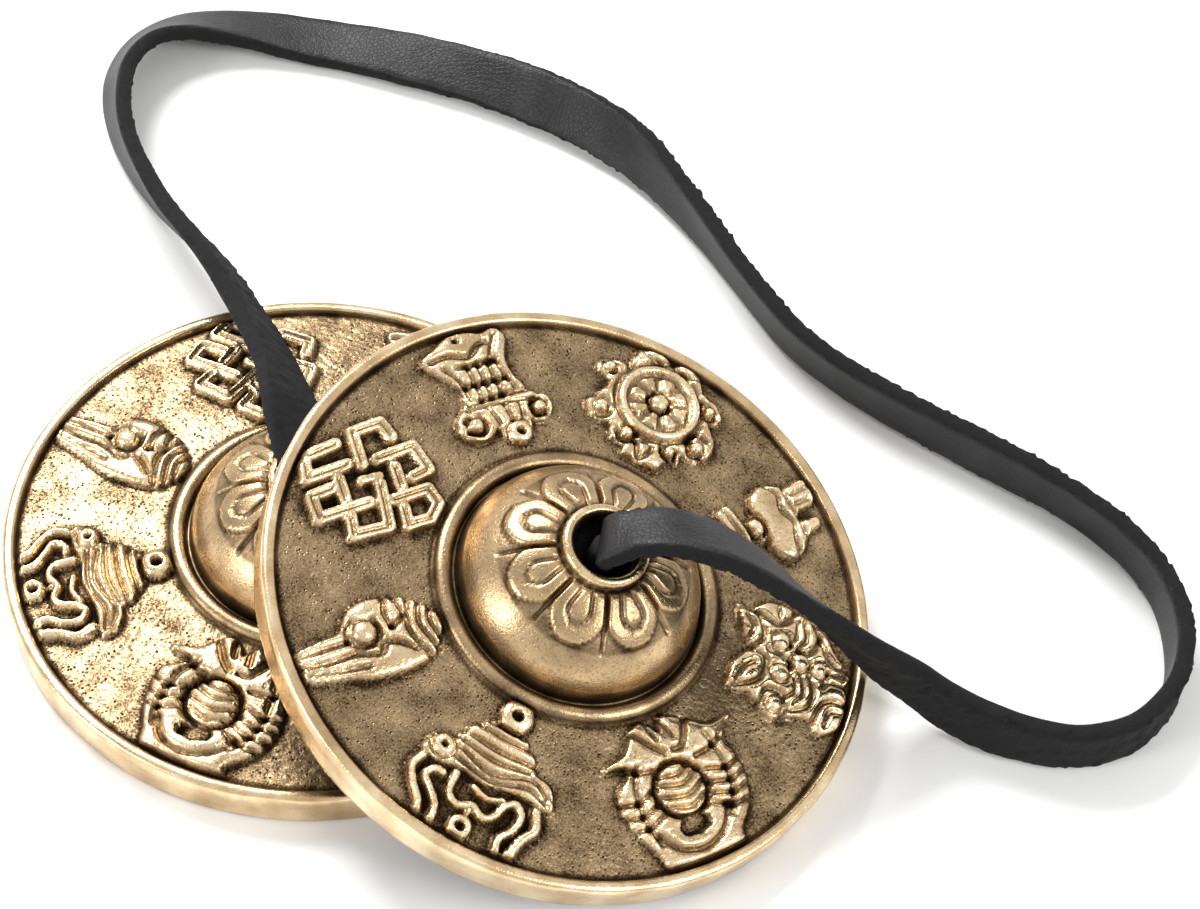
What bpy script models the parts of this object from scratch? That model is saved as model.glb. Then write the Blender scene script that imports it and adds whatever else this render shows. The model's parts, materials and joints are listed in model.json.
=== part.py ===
# Tingsha: two cast bronze cymbals joined by one flat leather strap, knotted inside each dome.
# The rear cymbal lies flat, its axis on world Z, its rim's underside at Z = 0. The front cymbal
# leans on it: its rim lies over the strap where that leaves the rear cymbal's hole.
# All lengths are in metres; the driving sizes are written in millimetres times mm.

import math

import bmesh
import bpy
from mathutils import Matrix, Vector

mm = 0.001

# Cymbal casting, turned about its own Z, underside of the rim at 0
outer_radius = 35.0 * mm
rim_thickness = 4.8 * mm
rim_chamfer = 0.5 * mm
lip_width = 1.6 * mm
lip_height = 0.7 * mm
land_width = 3.4 * mm
dish_depth = 0.7 * mm
plate_rise = 1.1 * mm
bead_radius = 15.4 * mm
bead_width = 1.9 * mm
bead_height = 1.0 * mm
dome_radius = 13.9 * mm
dome_wall = 2.1 * mm
collar_radius = 4.95 * mm
collar_height = 1.5 * mm
cymbal_height = 15.9 * mm
hole_radius = 3.7 * mm
hollow_floor = 1.2 * mm
hollow_mouth = 0.3 * mm  # how far the hollow's roof stops short of the bore
edge_round = 0.45 * mm  # rounding at the ends of the bore and on the collar
collar_flat = 0.5 * mm  # flat top of the collar between its two roundings
collar_foot = 0.5 * mm  # the dome starts this far outside the collar
dome_overrun = 0.75 * mm  # the dome's crown would reach this far up inside the collar
crown_thinning = 0.6 * mm  # the dome is this much thinner round the bore
bead_fillet = 0.8 * mm  # the plate starts this far outside the ring bead
turn_steps = 60
sharp_angle = math.radians(32.0)
merge_distance = 0.001 * mm

# Relief on the casting
relief_height = 0.9 * mm
relief_root = 1.1 * mm
petal_count = 8
petal_length = 6.0 * mm
petal_width = 5.4 * mm
petal_height = 0.45 * mm
petal_gap = 0.4 * mm  # from the collar to the petals
petal_sink = 0.2  # share of its height that a petal's middle lies under the dome's surface
petal_swell = 1.6  # a petal's half thickness over its height, so that its edge meets the dome
bead_swell = 1.15  # a boss stands this much prouder than the other relief
mitre_limit = 0.6  # the sharpest corner that a band's outline is drawn out to

# Strap and its knots
strap_width = 7.4 * mm
strap_thickness = 2.0 * mm
neck_width = 6.2 * mm
neck_thickness = 1.8 * mm
knot_cord = 3.0 * mm
knot_reach = 3.4 * mm
knot_height = 3.65 * mm  # middle of the knot above the foot of the dome
knot_turns = (2, 3)  # times round its hole and times through it: an overhand knot
knot_start, knot_span = 0.02, 0.93  # the share of the closed knot where it is cut open
knot_lead = 0.5 * mm
knot_steps = 44
steps_per_span = 2  # sections of the strap for each span of its route

# How the pieces sit
clearance = 0.3 * mm
lean_room = 0.3 * mm
slack = 0.1 * mm  # how much lower the strap lies at the rear hole than the room allows
rim_overlap = 4.65 * mm
side_offset = 4.3 * mm
lean_azimuth = math.radians(-24.6)
front_turn = math.radians(0.9)
rear_turn = math.radians(-50.5)

# Sizes that follow from the ones above
plate_edge = rim_thickness - lip_height
plate_foot = plate_edge + plate_rise
lip_inner = outer_radius - lip_width
dome_foot = plate_foot
dome_rise = cymbal_height - collar_height + dome_overrun - dome_foot
hollow_radius = dome_radius - dome_wall
hollow_rise = dome_rise - dome_wall * 0.4
hollow_spring = dome_foot - dome_wall * 0.8
neck_bottom = cymbal_height - collar_height - dome_wall + crown_thinning
neck_top = cymbal_height + clearance
lean_height = cymbal_height + clearance + strap_thickness + lean_room
reach = outer_radius - rim_overlap


def clear_scene():
    for item in list(bpy.data.objects):
        bpy.data.objects.remove(item, do_unlink=True)


def collection(name):
    made = bpy.data.collections.new(name)
    bpy.context.scene.collection.children.link(made)
    return made


def material(name, colour, roughness, metallic):
    made = bpy.data.materials.new(name)
    made.use_nodes = True
    shader = made.node_tree.nodes["Principled BSDF"]
    shader.inputs["Base Color"].default_value = (*colour, 1.0)
    shader.inputs["Roughness"].default_value = roughness
    shader.inputs["Metallic"].default_value = metallic
    made.diffuse_color = (*colour, 1.0)
    return made


def add_object(name, data, group):
    made = bpy.data.objects.new(name, data)
    group.objects.link(made)
    return made


def evaluated_mesh(item, name):
    bpy.context.view_layer.update()
    graph = bpy.context.evaluated_depsgraph_get()
    mesh = bpy.data.meshes.new_from_object(item.evaluated_get(graph))
    mesh.name = name
    return mesh


# The turned body of the casting

def arc(centre, radii, start, end, count):
    points = []
    for step in range(count + 1):
        angle = math.radians(start + (end - start) * step / count)
        points.append((centre[0] + radii[0] * math.cos(angle), centre[1] + radii[1] * math.sin(angle)))
    return points


def angle_at(radius, across):
    return math.degrees(math.acos(radius / across))


def dome_surface(radius):
    return dome_foot + dome_rise * math.sqrt(1 - (radius / dome_radius) ** 2)


def plate_surface(radius):
    slope = (radius - bead_radius) / (lip_inner - bead_radius)
    return plate_foot - plate_rise * slope


def casting_profile():
    r, t, c = outer_radius, rim_thickness, rim_chamfer
    outer = [(r - c, t), (r - 0.3 * c, t - 0.3 * c), (r, t - c), (r, c), (r - c, 0.0)]
    land = [(r - land_width, 0.0), (r - land_width - dish_depth, dish_depth)]
    hollow = [(hollow_radius + dish_depth, dish_depth), (hollow_radius, hollow_floor)]
    mouth = angle_at(hole_radius + hollow_mouth, hollow_radius)
    hollow += arc((0.0, hollow_spring), (hollow_radius, hollow_rise), 0.0, mouth, 6)
    top = cymbal_height
    mid = (hole_radius + collar_radius) / 2
    flat = collar_flat / 2
    bore = [(hole_radius, neck_bottom + 0.2 * mm), (hole_radius, top - edge_round), (mid - flat, top)]
    collar = [(mid + flat, top), (collar_radius, top - edge_round), (collar_radius, top - collar_height)]
    foot = collar_radius + collar_foot
    dome = arc((0.0, dome_foot), (dome_radius, dome_rise), angle_at(foot, dome_radius), 0.0, 8)
    half = bead_width / 2
    bead = arc((bead_radius, dome_foot), (half, bead_height), 180.0, 0.0, 4)
    plate_start = bead_radius + half + bead_fillet
    plate = [(plate_start, plate_surface(plate_start))]
    plate += [(lip_inner - 0.3 * mm, plate_edge), (lip_inner + 0.2 * mm, t)]
    return outer + land + hollow + bore + collar + dome + bead + plate


def turned_casting(group):
    mesh = bpy.data.meshes.new("casting_profile")
    shape = bmesh.new()
    ring = [shape.verts.new((x, 0.0, z)) for x, z in casting_profile()]
    for first, second in zip(ring, ring[1:] + ring[:1]):
        shape.edges.new((first, second))
    shape.to_mesh(mesh)
    shape.free()
    item = add_object("casting_body", mesh, group)
    turn = item.modifiers.new("turn", "SCREW")
    turn.axis = "Z"
    turn.angle = math.tau
    turn.steps = turn_steps
    turn.render_steps = turn_steps
    turn.use_merge_vertices = True
    turn.merge_threshold = merge_distance
    return item


# Relief: each symbol is drawn in its own frame, in millimetres: first number along the rim,
# clockwise, second number outward. Bands are raised strokes, areas are raised outlines, ovals are
# raised petals (centre, half length, half width, turn in degrees) and beads are round bosses.

symbols = {
    "endless_knot": {
        "place": (167.0, 24.6),
        "bands": [
            (1.5, [(1.2, 3.7), (-2.4, 6.9), (-0.2, 8.2), (3.0, 5.8)]),
            (1.5, [(2.0, 2.2), (5.2, 4.7), (7.9, 2.4), (6.8, 0.6)]),
            (1.5, [(3.4, 1.0), (6.8, -1.9), (4.9, -4.6), (3.2, -3.4)]),
            (1.5, [(-0.4, -2.6), (2.6, -5.4), (1.4, -7.1), (-0.7, -7.0), (-2.6, -5.1), (-0.9, -3.9)]),
            (1.5, [(0.6, -0.5), (-3.7, -3.3), (-6.4, -0.2), (-4.6, 0.9)]),
            (1.5, [(-2.0, -0.2), (-6.3, 3.9), (-4.3, 5.7), (-2.2, 4.0)]),
            (1.7, [(-2.5, 2.4), (-0.9, 3.6)]),
            (1.7, [(1.6, -2.5), (3.4, -1.3)]),
            (1.0, [(0.1, 1.4), (1.4, 0.1)]),
        ],
    },
    "conch": {
        "place": (209.7, 24.4),
        "areas": [
            [
                [(-2.7, 8.5), (-3.7, 4.2), (-4.5, 1.6), (-4.6, -1.4), (-4.2, -4.4), (-3.6, -5.6),
                 (-1.6, -7.2), (-0.4, -7.6), (1.4, -7.1), (3.3, -5.0), (4.1, -2.8), (4.3, -0.6),
                 (4.0, 0.9), (2.9, 2.5), (1.6, 3.2), (1.5, 5.2), (0.6, 8.5)],
                [(-1.7, 2.0), (-1.3, 0.2), (-0.7, -0.9), (-0.3, 0.4), (0.3, 2.2), (0.5, 5.0),
                 (0.0, 7.2), (-0.6, 4.6)],
            ],
        ],
    },
    "parasol": {
        "place": (253.7, 24.9),
        "areas": [
            [
                [(-7.9, 0.8), (-7.4, -1.0), (-6.4, -1.9), (-4.9, -2.1), (-4.4, -3.2), (-3.0, -4.6),
                 (-1.4, -5.5), (1.4, -5.5), (2.6, -4.6), (3.9, -3.2), (4.3, -1.7), (6.5, -1.0),
                 (7.3, 0.4), (7.1, 1.2), (4.6, 1.5), (2.2, 1.0), (0.0, 1.3), (-2.4, 0.9), (-5.0, 0.7)],
            ],
        ],
        "bands": [
            (1.2, [(-6.6, 2.2), (-7.2, 3.5), (-6.1, 5.2), (-5.7, 7.4)]),
            (1.0, [(-3.9, 7.5), (-4.1, 6.2), (-5.1, 4.6), (-5.3, 2.9), (-4.2, 2.1), (-3.2, 3.0),
                   (-2.6, 4.4), (-1.4, 5.0), (0.0, 4.1), (1.4, 5.0), (2.7, 4.2), (2.8, 2.2)]),
            (1.1, [(3.2, 7.5), (3.5, 6.2), (4.7, 4.7), (6.0, 3.6), (5.2, 2.5)]),
            (1.1, [(5.3, 7.4), (5.5, 6.3), (7.0, 4.9), (7.5, 3.0), (7.1, 2.0)]),
        ],
        "rings": [(-0.3, -6.9, 1.2, 0.9), (0.1, 7.0, 1.0, 0.7)],
    },
    "two_fish": {
        "place": (306.9, 25.2),
        "areas": [
            [
                [(-8.0, -5.2), (-6.2, -3.0), (-6.7, -1.0), (-6.4, 2.0), (-5.0, 4.5), (-3.1, 6.0),
                 (-2.6, 7.6), (2.4, 7.9), (6.2, 7.5), (6.6, 5.4), (7.8, 3.0), (8.2, 0.0), (7.8, -2.4),
                 (5.6, -3.9), (8.0, -4.9), (5.2, -6.0), (3.4, -7.7), (1.4, -7.8), (0.6, -6.4),
                 (-0.4, -7.8), (-3.0, -7.0), (-5.5, -5.3)],
                [(-2.0, 3.4), (-1.4, 4.7), (0.4, 5.9), (2.2, 5.9), (3.8, 5.0), (4.6, 3.4), (1.2, 3.1)],
                [(0.2, -3.9), (2.2, -3.9), (1.2, -5.6)],
                [(1.2, 2.6), (-0.6, 2.0), (-1.5, 0.1), (-0.8, -1.8), (1.2, -2.6), (3.2, -1.8),
                 (3.9, 0.1), (3.0, 2.0)],
            ],
        ],
        "beads": [(1.2, 0.0, 2.2)],
    },
    "lotus": {
        "place": (354.5, 26.0),
        "ovals": [
            (-2.6, -5.6, 2.5, 1.3, 60.0),
            (2.9, -5.1, 2.7, 1.4, -55.0),
            (-4.9, -2.9, 2.3, 1.1, -65.0),
            (-3.9, 0.4, 2.1, 1.5, 15.0),
            (-2.6, 3.4, 2.1, 0.8, 35.0),
            (3.3, 1.6, 2.2, 1.5, -20.0),
            (5.7, -2.2, 2.0, 1.5, -60.0),
            (2.2, 4.6, 2.0, 1.1, -60.0),
            (4.9, 4.7, 2.4, 1.3, -45.0),
            (0.0, 5.2, 1.3, 0.7, 90.0),
        ],
        "beads": [(0.0, 0.4, 0.95), (-1.7, -2.1, 0.95), (2.1, -1.6, 1.05), (0.1, 2.6, 0.95)],
    },
    "vase": {
        "place": (36.5, 26.4),
        "areas": [
            [[(-1.8, 3.0), (-2.2, 6.0), (0.6, 6.1), (1.3, 4.8), (1.2, 3.0)]],
            [[(2.4, 3.0), (2.9, 5.0), (4.0, 5.0), (4.3, 3.2)]],
            [[(-1.9, -4.3), (-1.9, -6.7), (0.8, -6.3), (4.9, -5.4), (4.9, -4.3)]],
        ],
        "ovals": [(1.5, 0.4, 4.6, 2.9, -10.0), (1.6, -3.3, 1.2, 0.7, 0.0)],
    },
    "wheel": {
        "place": (75.3, 26.2),
        "rings": [(0.1, 0.2, 4.5, 1.0)],
        "spokes": (0.1, 0.2, 1.9, 3.3, 1.1, 8),
        "beads": [(0.1, 0.2, 1.2)],
        "ovals": [
            (-2.4, 5.9, 1.9, 0.8, 10.0),
            (2.0, 5.9, 1.9, 0.8, -10.0),
            (6.3, 2.3, 1.5, 1.0, 30.0),
            (6.5, -1.9, 1.9, 1.1, -75.0),
            (-6.6, 1.6, 1.5, 1.0, 10.0),
            (-6.1, -2.7, 1.8, 1.2, 70.0),
            (-2.4, -6.0, 1.8, 1.2, -30.0),
            (3.0, -5.9, 1.5, 1.1, -60.0),
            (0.4, -7.0, 0.9, 0.8, 90.0),
        ],
    },
    "banner": {
        "place": (120.4, 26.2),
        "areas": [
            [
                [(-6.6, 3.8), (-4.6, 5.2), (-2.0, 6.4), (0.2, 6.0), (1.4, 5.6), (3.2, 6.0), (4.2, 5.2),
                 (3.5, 3.2), (3.0, 2.2), (3.0, 0.3), (3.7, -1.6), (0.8, -1.7), (-2.2, -1.9),
                 (-3.4, -2.0), (-3.3, 0.2)],
                [(-4.3, 3.9), (-1.6, 3.0), (-0.2, 3.1), (1.3, 4.4), (-0.4, 4.1), (-1.4, 3.8)],
                [(-1.9, 1.6), (-1.3, 1.7), (-1.1, -1.0), (-1.7, -1.0)],
                [(-0.5, 1.8), (0.1, 1.8), (0.2, -0.9), (-0.4, -0.9)],
                [(0.9, 1.8), (1.5, 1.8), (1.6, -0.8), (1.0, -0.8)],
            ],
        ],
        "bands": [
            (1.2, [(-2.6, -6.4), (-3.9, -6.8), (-5.1, -6.0), (-5.2, -4.4), (-4.0, -3.1), (-1.5, -2.8),
                   (2.0, -2.5), (4.6, -2.8), (5.7, -4.0), (5.3, -5.5), (4.2, -5.6)]),
        ],
        "ovals": [(-1.1, -5.1, 1.3, 0.8, 60.0), (0.5, -4.6, 1.1, 0.7, 90.0), (2.0, -4.9, 1.2, 0.8, 120.0)],
        "beads": [(-3.4, -5.1, 0.95)],
        "rings": [(0.9, -7.0, 1.1, 1.0)],
    },
}


def band_outline(width, line):
    left, right = [], []
    for index, point in enumerate(line):
        here = Vector(point)
        before = Vector(line[max(index - 1, 0)])
        after = Vector(line[min(index + 1, len(line) - 1)])
        inward = (here - before).normalized() if index > 0 else (after - here).normalized()
        onward = (after - here).normalized() if index < len(line) - 1 else inward
        along = (inward + onward).normalized()
        across = Vector((-along.y, along.x))
        half = width / 2 / max(along.dot(inward), mitre_limit)
        left.append(here + across * half)
        right.append(here - across * half)
    return left + right[::-1]


def oval_outline(x, y, long, wide, turn, sides=10):
    spin = Matrix.Rotation(math.radians(turn), 2)
    points = []
    for step in range(sides):
        angle = math.tau * step / sides
        points.append(Vector((x, y)) + spin @ Vector((long * math.cos(angle), wide * math.sin(angle))))
    return points


def symbol_outlines(symbol):
    shapes = [list(area) for area in symbol.get("areas", [])]
    shapes += [[band_outline(width, line)] for width, line in symbol.get("bands", [])]
    shapes += [[oval_outline(*oval)] for oval in symbol.get("ovals", [])]
    for x, y, radius, width in symbol.get("rings", []):
        sides = 24 if radius > 3 else 10
        outside = oval_outline(x, y, radius + width / 2, radius + width / 2, 0.0, sides)
        inside = oval_outline(x, y, radius - width / 2, radius - width / 2, 0.0, sides)
        shapes.append([outside, inside])
    if "spokes" in symbol:
        x, y, start, end, width, count = symbol["spokes"]
        for index in range(count):
            way = Vector((math.cos(math.tau * index / count), math.sin(math.tau * index / count)))
            across = Vector((-way.y, way.x)) * width / 2
            hub, rim = Vector((x, y)) + way * start, Vector((x, y)) + way * end
            shapes.append([[hub - across * 0.6, rim - across * 1.4, rim + across * 1.4, hub + across * 0.6]])
    return shapes


def symbol_frame(place):
    angle, radius = math.radians(place[0]), place[1] * mm
    slope = math.atan2(plate_rise, lip_inner - bead_radius)
    stand = Matrix.Translation((radius, 0.0, plate_surface(radius)))
    tip = Matrix.Rotation(slope, 4, "Y")
    face = Matrix.Rotation(math.radians(-90.0), 4, "Z")
    return Matrix.Rotation(angle, 4, "Z") @ stand @ tip @ face


def raised_outline(outline, frame, group):
    curve = bpy.data.curves.new("outline", "CURVE")
    curve.dimensions = "2D"
    curve.fill_mode = "BOTH"
    curve.extrude = (relief_height + relief_root) / 2
    for ring in outline:
        spline = curve.splines.new("POLY")
        spline.points.add(len(ring) - 1)
        for point, spot in zip(spline.points, ring):
            point.co = (spot[0] * mm, spot[1] * mm, 0.0, 1.0)
        spline.use_cyclic_u = True
    item = add_object("outline", curve, group)
    item.matrix_world = frame @ Matrix.Translation((0.0, 0.0, (relief_height - relief_root) / 2))
    return item


def raised_bead(bead, frame, shape):
    x, y, radius = bead
    place = frame @ Matrix.Translation((x * mm, y * mm, 0.0)) @ Matrix.Diagonal(
        (radius * mm, radius * mm, relief_height * bead_swell, 1.0))
    bmesh.ops.create_uvsphere(shape, u_segments=12, v_segments=6, radius=1.0, matrix=place)


def petal_ring(shape):
    middle = collar_radius + petal_gap + petal_length / 2
    rise = dome_surface(middle - petal_length / 3) - dome_surface(middle + petal_length / 3)
    slope = math.atan2(rise, petal_length * 2 / 3)
    for index in range(petal_count):
        spin = Matrix.Rotation(math.tau * (index + 0.5) / petal_count, 4, "Z")
        stand = Matrix.Translation((middle, 0.0, dome_surface(middle) - petal_height * petal_sink))
        thick = petal_height * petal_swell
        size = Matrix.Diagonal((petal_length / 2 / math.cos(slope), petal_width / 2, thick, 1.0))
        place = spin @ stand @ Matrix.Rotation(slope, 4, "Y") @ size
        bmesh.ops.create_uvsphere(shape, u_segments=14, v_segments=6, radius=1.0, matrix=place)


def relief_solids(group):
    shape = bmesh.new()
    for symbol in symbols.values():
        frame = symbol_frame(symbol["place"])
        for outline in symbol_outlines(symbol):
            item = raised_outline(outline, frame, group)
            mesh = evaluated_mesh(item, "outline")
            mesh.transform(item.matrix_world)
            shape.from_mesh(mesh)
            bpy.data.objects.remove(item, do_unlink=True)
            bpy.data.meshes.remove(mesh)
        for bead in symbol.get("beads", []):
            raised_bead(bead, frame, shape)
    petal_ring(shape)
    bmesh.ops.remove_doubles(shape, verts=shape.verts, dist=merge_distance)
    mesh = bpy.data.meshes.new("relief")
    shape.to_mesh(mesh)
    shape.free()
    item = add_object("relief", mesh, group)
    item.hide_render = True
    item.display_type = "WIRE"
    return item


def casting_mesh(group):
    body = turned_casting(group)
    relief = relief_solids(group)
    fuse = body.modifiers.new("relief", "BOOLEAN")
    fuse.operation = "UNION"
    fuse.solver = "EXACT"
    fuse.use_self = True
    fuse.object = relief
    mesh = evaluated_mesh(body, "cymbal_casting")
    for item in (body, relief):
        bpy.data.objects.remove(item, do_unlink=True)
    mesh.shade_smooth()
    mesh.set_sharp_from_angle(angle=sharp_angle)
    return mesh


# Where the front cymbal leans

def lean_angle():
    # halve the range until the rim's edge rests at lean_height over the strap
    low, high = 0.0, math.radians(45.0)
    for _ in range(60):
        middle = (low + high) / 2
        height = outer_radius * math.sin(middle) + reach * math.tan(middle)
        if height < lean_height:
            low = middle
        else:
            high = middle
    return (low + high) / 2


def front_frame():
    tilt = lean_angle()
    along = Vector((math.cos(lean_azimuth), math.sin(lean_azimuth), 0.0))
    across = Vector((-along.y, along.x, 0.0))
    centre = along * reach + across * side_offset
    centre.z = outer_radius * math.sin(tilt)
    return Matrix.Translation(centre) @ Matrix.Rotation(tilt, 4, across)


# The strap: a flat ribbon with thickness, its route in millimetres and its lean in degrees.
# Lean 0 stands the strap on its edge, grain side to the left of travel; minus 90 lays it grain up.

front_route = [
    (36.4, -10.7, 27.7, -79), (39.9, -10.5, 28.3, -75), (44.8, -10.5, 27.2, -66), (49.8, -10.6, 24.2, -57),
    (55.0, -10.9, 19.8, -48), (59.9, -10.9, 15.2, -38), (64.3, -11.1, 11.2, -24), (69.6, -11.4, 7.0, -9),
    (75.0, -12.9, 4.6, 0), (81.0, -14.6, 4.2, 0), (87.7, -15.0, 4.2, -3), (93.7, -12.7, 4.2, -3),
    (97.8, -8.2, 4.2, 0), (99.6, -3.7, 4.2, 0), (99.9, 1.3, 4.2, 0), (98.7, 7.0, 4.2, 3),
    (95.8, 12.0, 4.2, 7), (91.4, 16.3, 4.2, 9), (85.7, 20.2, 4.2, 8), (79.0, 23.6, 4.2, 6),
    (72.0, 27.0, 4.2, 7), (65.1, 30.5, 4.2, 10), (58.6, 34.4, 4.2, 12), (52.7, 39.3, 4.2, 12),
    (46.8, 46.8, 4.2, 12), (40.0, 56.2, 4.2, 6), (32.4, 65.2, 4.2, -14), (26.0, 70.2, 4.1, -33),
    (18.4, 74.2, 3.7, -49), (9.4, 77.5, 3.1, -62), (-2.8, 80.2, 2.3, -76), (-12.9, 81.6, 1.6, -88),
    (-22.0, 81.7, 2.1, -103), (-29.8, 79.8, 3.1, -119), (-34.6, 75.5, 3.8, -135), (-36.4, 69.0, 4.2, -151),
    (-35.2, 61.8, 4.3, -167), (-32.5, 55.6, 4.3, -180),
]
rear_route = [
    (-32.5, 55.6, 4.3, -180), (-28.4, 49.2, 5.0, -191), (-24.6, 44.0, 6.2, -201), (-20.8, 39.3, 7.6, -207),
    (-17.0, 34.3, 8.9, -211), (-13.0, 28.2, 9.9, -214), (-9.4, 22.0, 11.6, -218), (-6.2, 15.2, 14.0, -223),
    (-4.2, 9.6, 16.2, -236), (-2.9, 5.8, 17.0, -250), (-1.9, 2.9, 17.3, -268),
]
rear_heading = Vector((-0.33, 0.944, 0.0))
front_heading = Vector((1.0, -0.02, 0.0))
bend_heading = Vector((0.466, -0.885, 0.0)).normalized()
taper_sections = 10


def lean_side(travel, lean):
    left = Vector((0.0, 0.0, 1.0)).cross(travel).normalized()
    up = travel.cross(left)
    return up * math.cos(lean) + left * math.sin(lean)


def smooth_rows(rows, per_span):
    out = []
    for index in range(len(rows) - 1):
        a = rows[max(index - 1, 0)]
        b, c = rows[index], rows[index + 1]
        d = rows[min(index + 2, len(rows) - 1)]
        for step in range(per_span):
            t = step / per_span
            out.append([
                0.5 * (2 * q + (r - p) * t + (2 * p - 5 * q + 4 * r - s) * t * t
                       + (3 * q - p - 3 * r + s) * t ** 3)
                for p, q, r, s in zip(a, b, c, d)
            ])
    out.append(list(rows[-1]))
    return out


def ribbon(name, sections, group, finish, origin, thickness=strap_thickness):
    # sections: centre, width direction, width
    shape = bmesh.new()
    previous = None
    for centre, side, width in sections:
        middle = centre - origin
        pair = [shape.verts.new(middle - side * width / 2), shape.verts.new(middle + side * width / 2)]
        if previous:
            shape.faces.new((previous[0], previous[1], pair[1], pair[0]))
        previous = pair
    mesh = bpy.data.meshes.new(name)
    shape.to_mesh(mesh)
    shape.free()
    mesh.materials.append(finish)
    item = add_object(name, mesh, group)
    item.location = origin
    wall = item.modifiers.new("leather", "SOLIDIFY")
    wall.thickness = thickness
    wall.offset = 0.0
    return item


def route_sections(rows, heading, shift):
    # heading is the way of travel at the bend joint, where both runs' end faces are parallel
    at_start = shift > 0
    rows = smooth_rows(rows, steps_per_span)
    centres = [Vector(row[:3]) * mm for row in rows]
    sections = []
    for index, centre in enumerate(centres):
        travel = centres[min(index + 1, len(rows) - 1)] - centres[max(index - 1, 0)]
        sections.append((centre, lean_side(travel.normalized(), math.radians(rows[index][3])), strap_width))
    joined = 0 if at_start else -1
    centre, side, width = sections[joined]
    upright = lean_side(heading, math.radians(rows[joined][3]))
    sections[joined] = (centre + heading * shift, upright, width)
    return sections


def taper(sections, count):
    # narrow the strap over its last sections, where it is drawn into the hole
    for index in range(1, count + 1):
        centre, side, _ = sections[-index]
        share = index / count
        sections[-index] = (centre, side, neck_width + (strap_width - neck_width) * share)
    return sections


def over_hole(frame, last, side, height):
    # the strap comes level over the hole; the neck stands under it, across the clearance
    middle = frame @ Vector((0.0, 0.0, height))
    axis = (frame.to_3x3() @ Vector((0.0, 0.0, 1.0))).normalized()
    onward = side.cross(axis).normalized()
    if onward.dot(middle - last) < 0:
        onward = -onward
    ends = (middle - onward * neck_thickness / 2, middle + onward * neck_thickness / 2)
    return [(end, side, neck_width) for end in ends]


def overhand_path(centre_height):
    # an overhand knot: a two by three torus knot, cut at its top; one end rises to the hole and
    # the other ends in the dome as the tail
    minor = knot_cord / 2 + clearance / 2
    top = neck_bottom - clearance
    points = [Vector((0.0, 0.0, top)), Vector((0.0, 0.0, top - knot_lead))]
    for step in range(knot_steps + 1):
        share = knot_start + knot_span * step / knot_steps
        major_angle = math.tau * knot_turns[0] * share
        minor_angle = math.tau * knot_turns[1] * share + math.radians(90.0)
        away = knot_reach + minor * math.cos(minor_angle)
        points.append(Vector((
            away * math.cos(major_angle), away * math.sin(major_angle),
            centre_height + minor * math.sin(minor_angle))))
    return points


def knot_mesh(group, finish):
    curve = bpy.data.curves.new("knot", "CURVE")
    curve.dimensions = "3D"
    curve.fill_mode = "FULL"
    curve.bevel_depth = knot_cord / 2
    curve.bevel_resolution = 2
    curve.use_fill_caps = True
    path = overhand_path(dome_foot + knot_height)
    spline = curve.splines.new("POLY")
    spline.points.add(len(path) - 1)
    for point, spot in zip(spline.points, path):
        point.co = (*spot, 1.0)
    item = add_object("knot", curve, group)
    mesh = evaluated_mesh(item, "knot")
    bpy.data.objects.remove(item, do_unlink=True)
    shape = bmesh.new()
    shape.from_mesh(mesh)
    bmesh.ops.remove_doubles(shape, verts=shape.verts, dist=0.00001)
    shape.to_mesh(mesh)
    shape.free()
    mesh.materials.append(finish)
    mesh.shade_smooth()
    return mesh


def neck(name, frame, heading, top, group, finish):
    axis = frame.to_3x3() @ Vector((0.0, 0.0, 1.0))
    side = axis.cross(heading).normalized()
    sections = []
    for height in (neck_bottom, (neck_bottom + top) / 2, top):
        sections.append((frame @ Vector((0.0, 0.0, height)), side, neck_width))
    return ribbon(name, sections, group, finish, frame.translation, neck_thickness)


def run(name, route, frame, heading, height, level, group, finish, joint_gap, origin):
    # level is the normal of the plane that the strap lies along where it crosses the hole
    sections = route_sections(route, bend_heading, joint_gap)
    if joint_gap < 0:
        sections.reverse()
    sections = taper(sections, taper_sections)
    axis = frame.to_3x3() @ Vector((0.0, 0.0, 1.0))
    side = axis.cross(heading).normalized()
    side = (side - level * side.dot(level)).normalized()
    if side.dot(sections[-1][1]) < 0:
        side = -side
    sections += over_hole(frame, sections[-1][0], side, height)
    return ribbon(name, sections, group, finish, origin)


def pivot(name, place, pieces, group):
    # the empty stands on a joint's axis and holds the pieces that the joint turns
    holder = add_object(name, None, group)
    holder.location = place
    bpy.context.view_layer.update()
    for piece in pieces:
        stays = piece.matrix_world.copy()
        piece.parent = holder
        piece.matrix_world = stays


def tilt_axis_point(frame):
    # the strap bends where it comes up out of the front hole, at the neck's far face
    far = Vector((-neck_thickness / 2, 0.0, neck_top + clearance / 2))
    return frame @ far


def bend_axis_point():
    left = Vector((0.0, 0.0, 1.0)).cross(bend_heading)
    return Vector(rear_route[0][:3]) * mm - left * (strap_thickness / 2)


def centre_on_origin(cymbals, pieces):
    # the frame's origin is the middle of the two cymbals' box, on the table
    bpy.context.view_layer.update()
    corners = [item.matrix_world @ point.co for item in cymbals for point in item.data.vertices]
    low = Vector([min(corner[axis] for corner in corners) for axis in range(3)])
    high = Vector([max(corner[axis] for corner in corners) for axis in range(3)])
    shift = Vector((-(low.x + high.x) / 2, -(low.y + high.y) / 2, 0.0))
    for item in pieces:
        if item.parent is None:
            item.matrix_world = Matrix.Translation(shift) @ item.matrix_world


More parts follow.
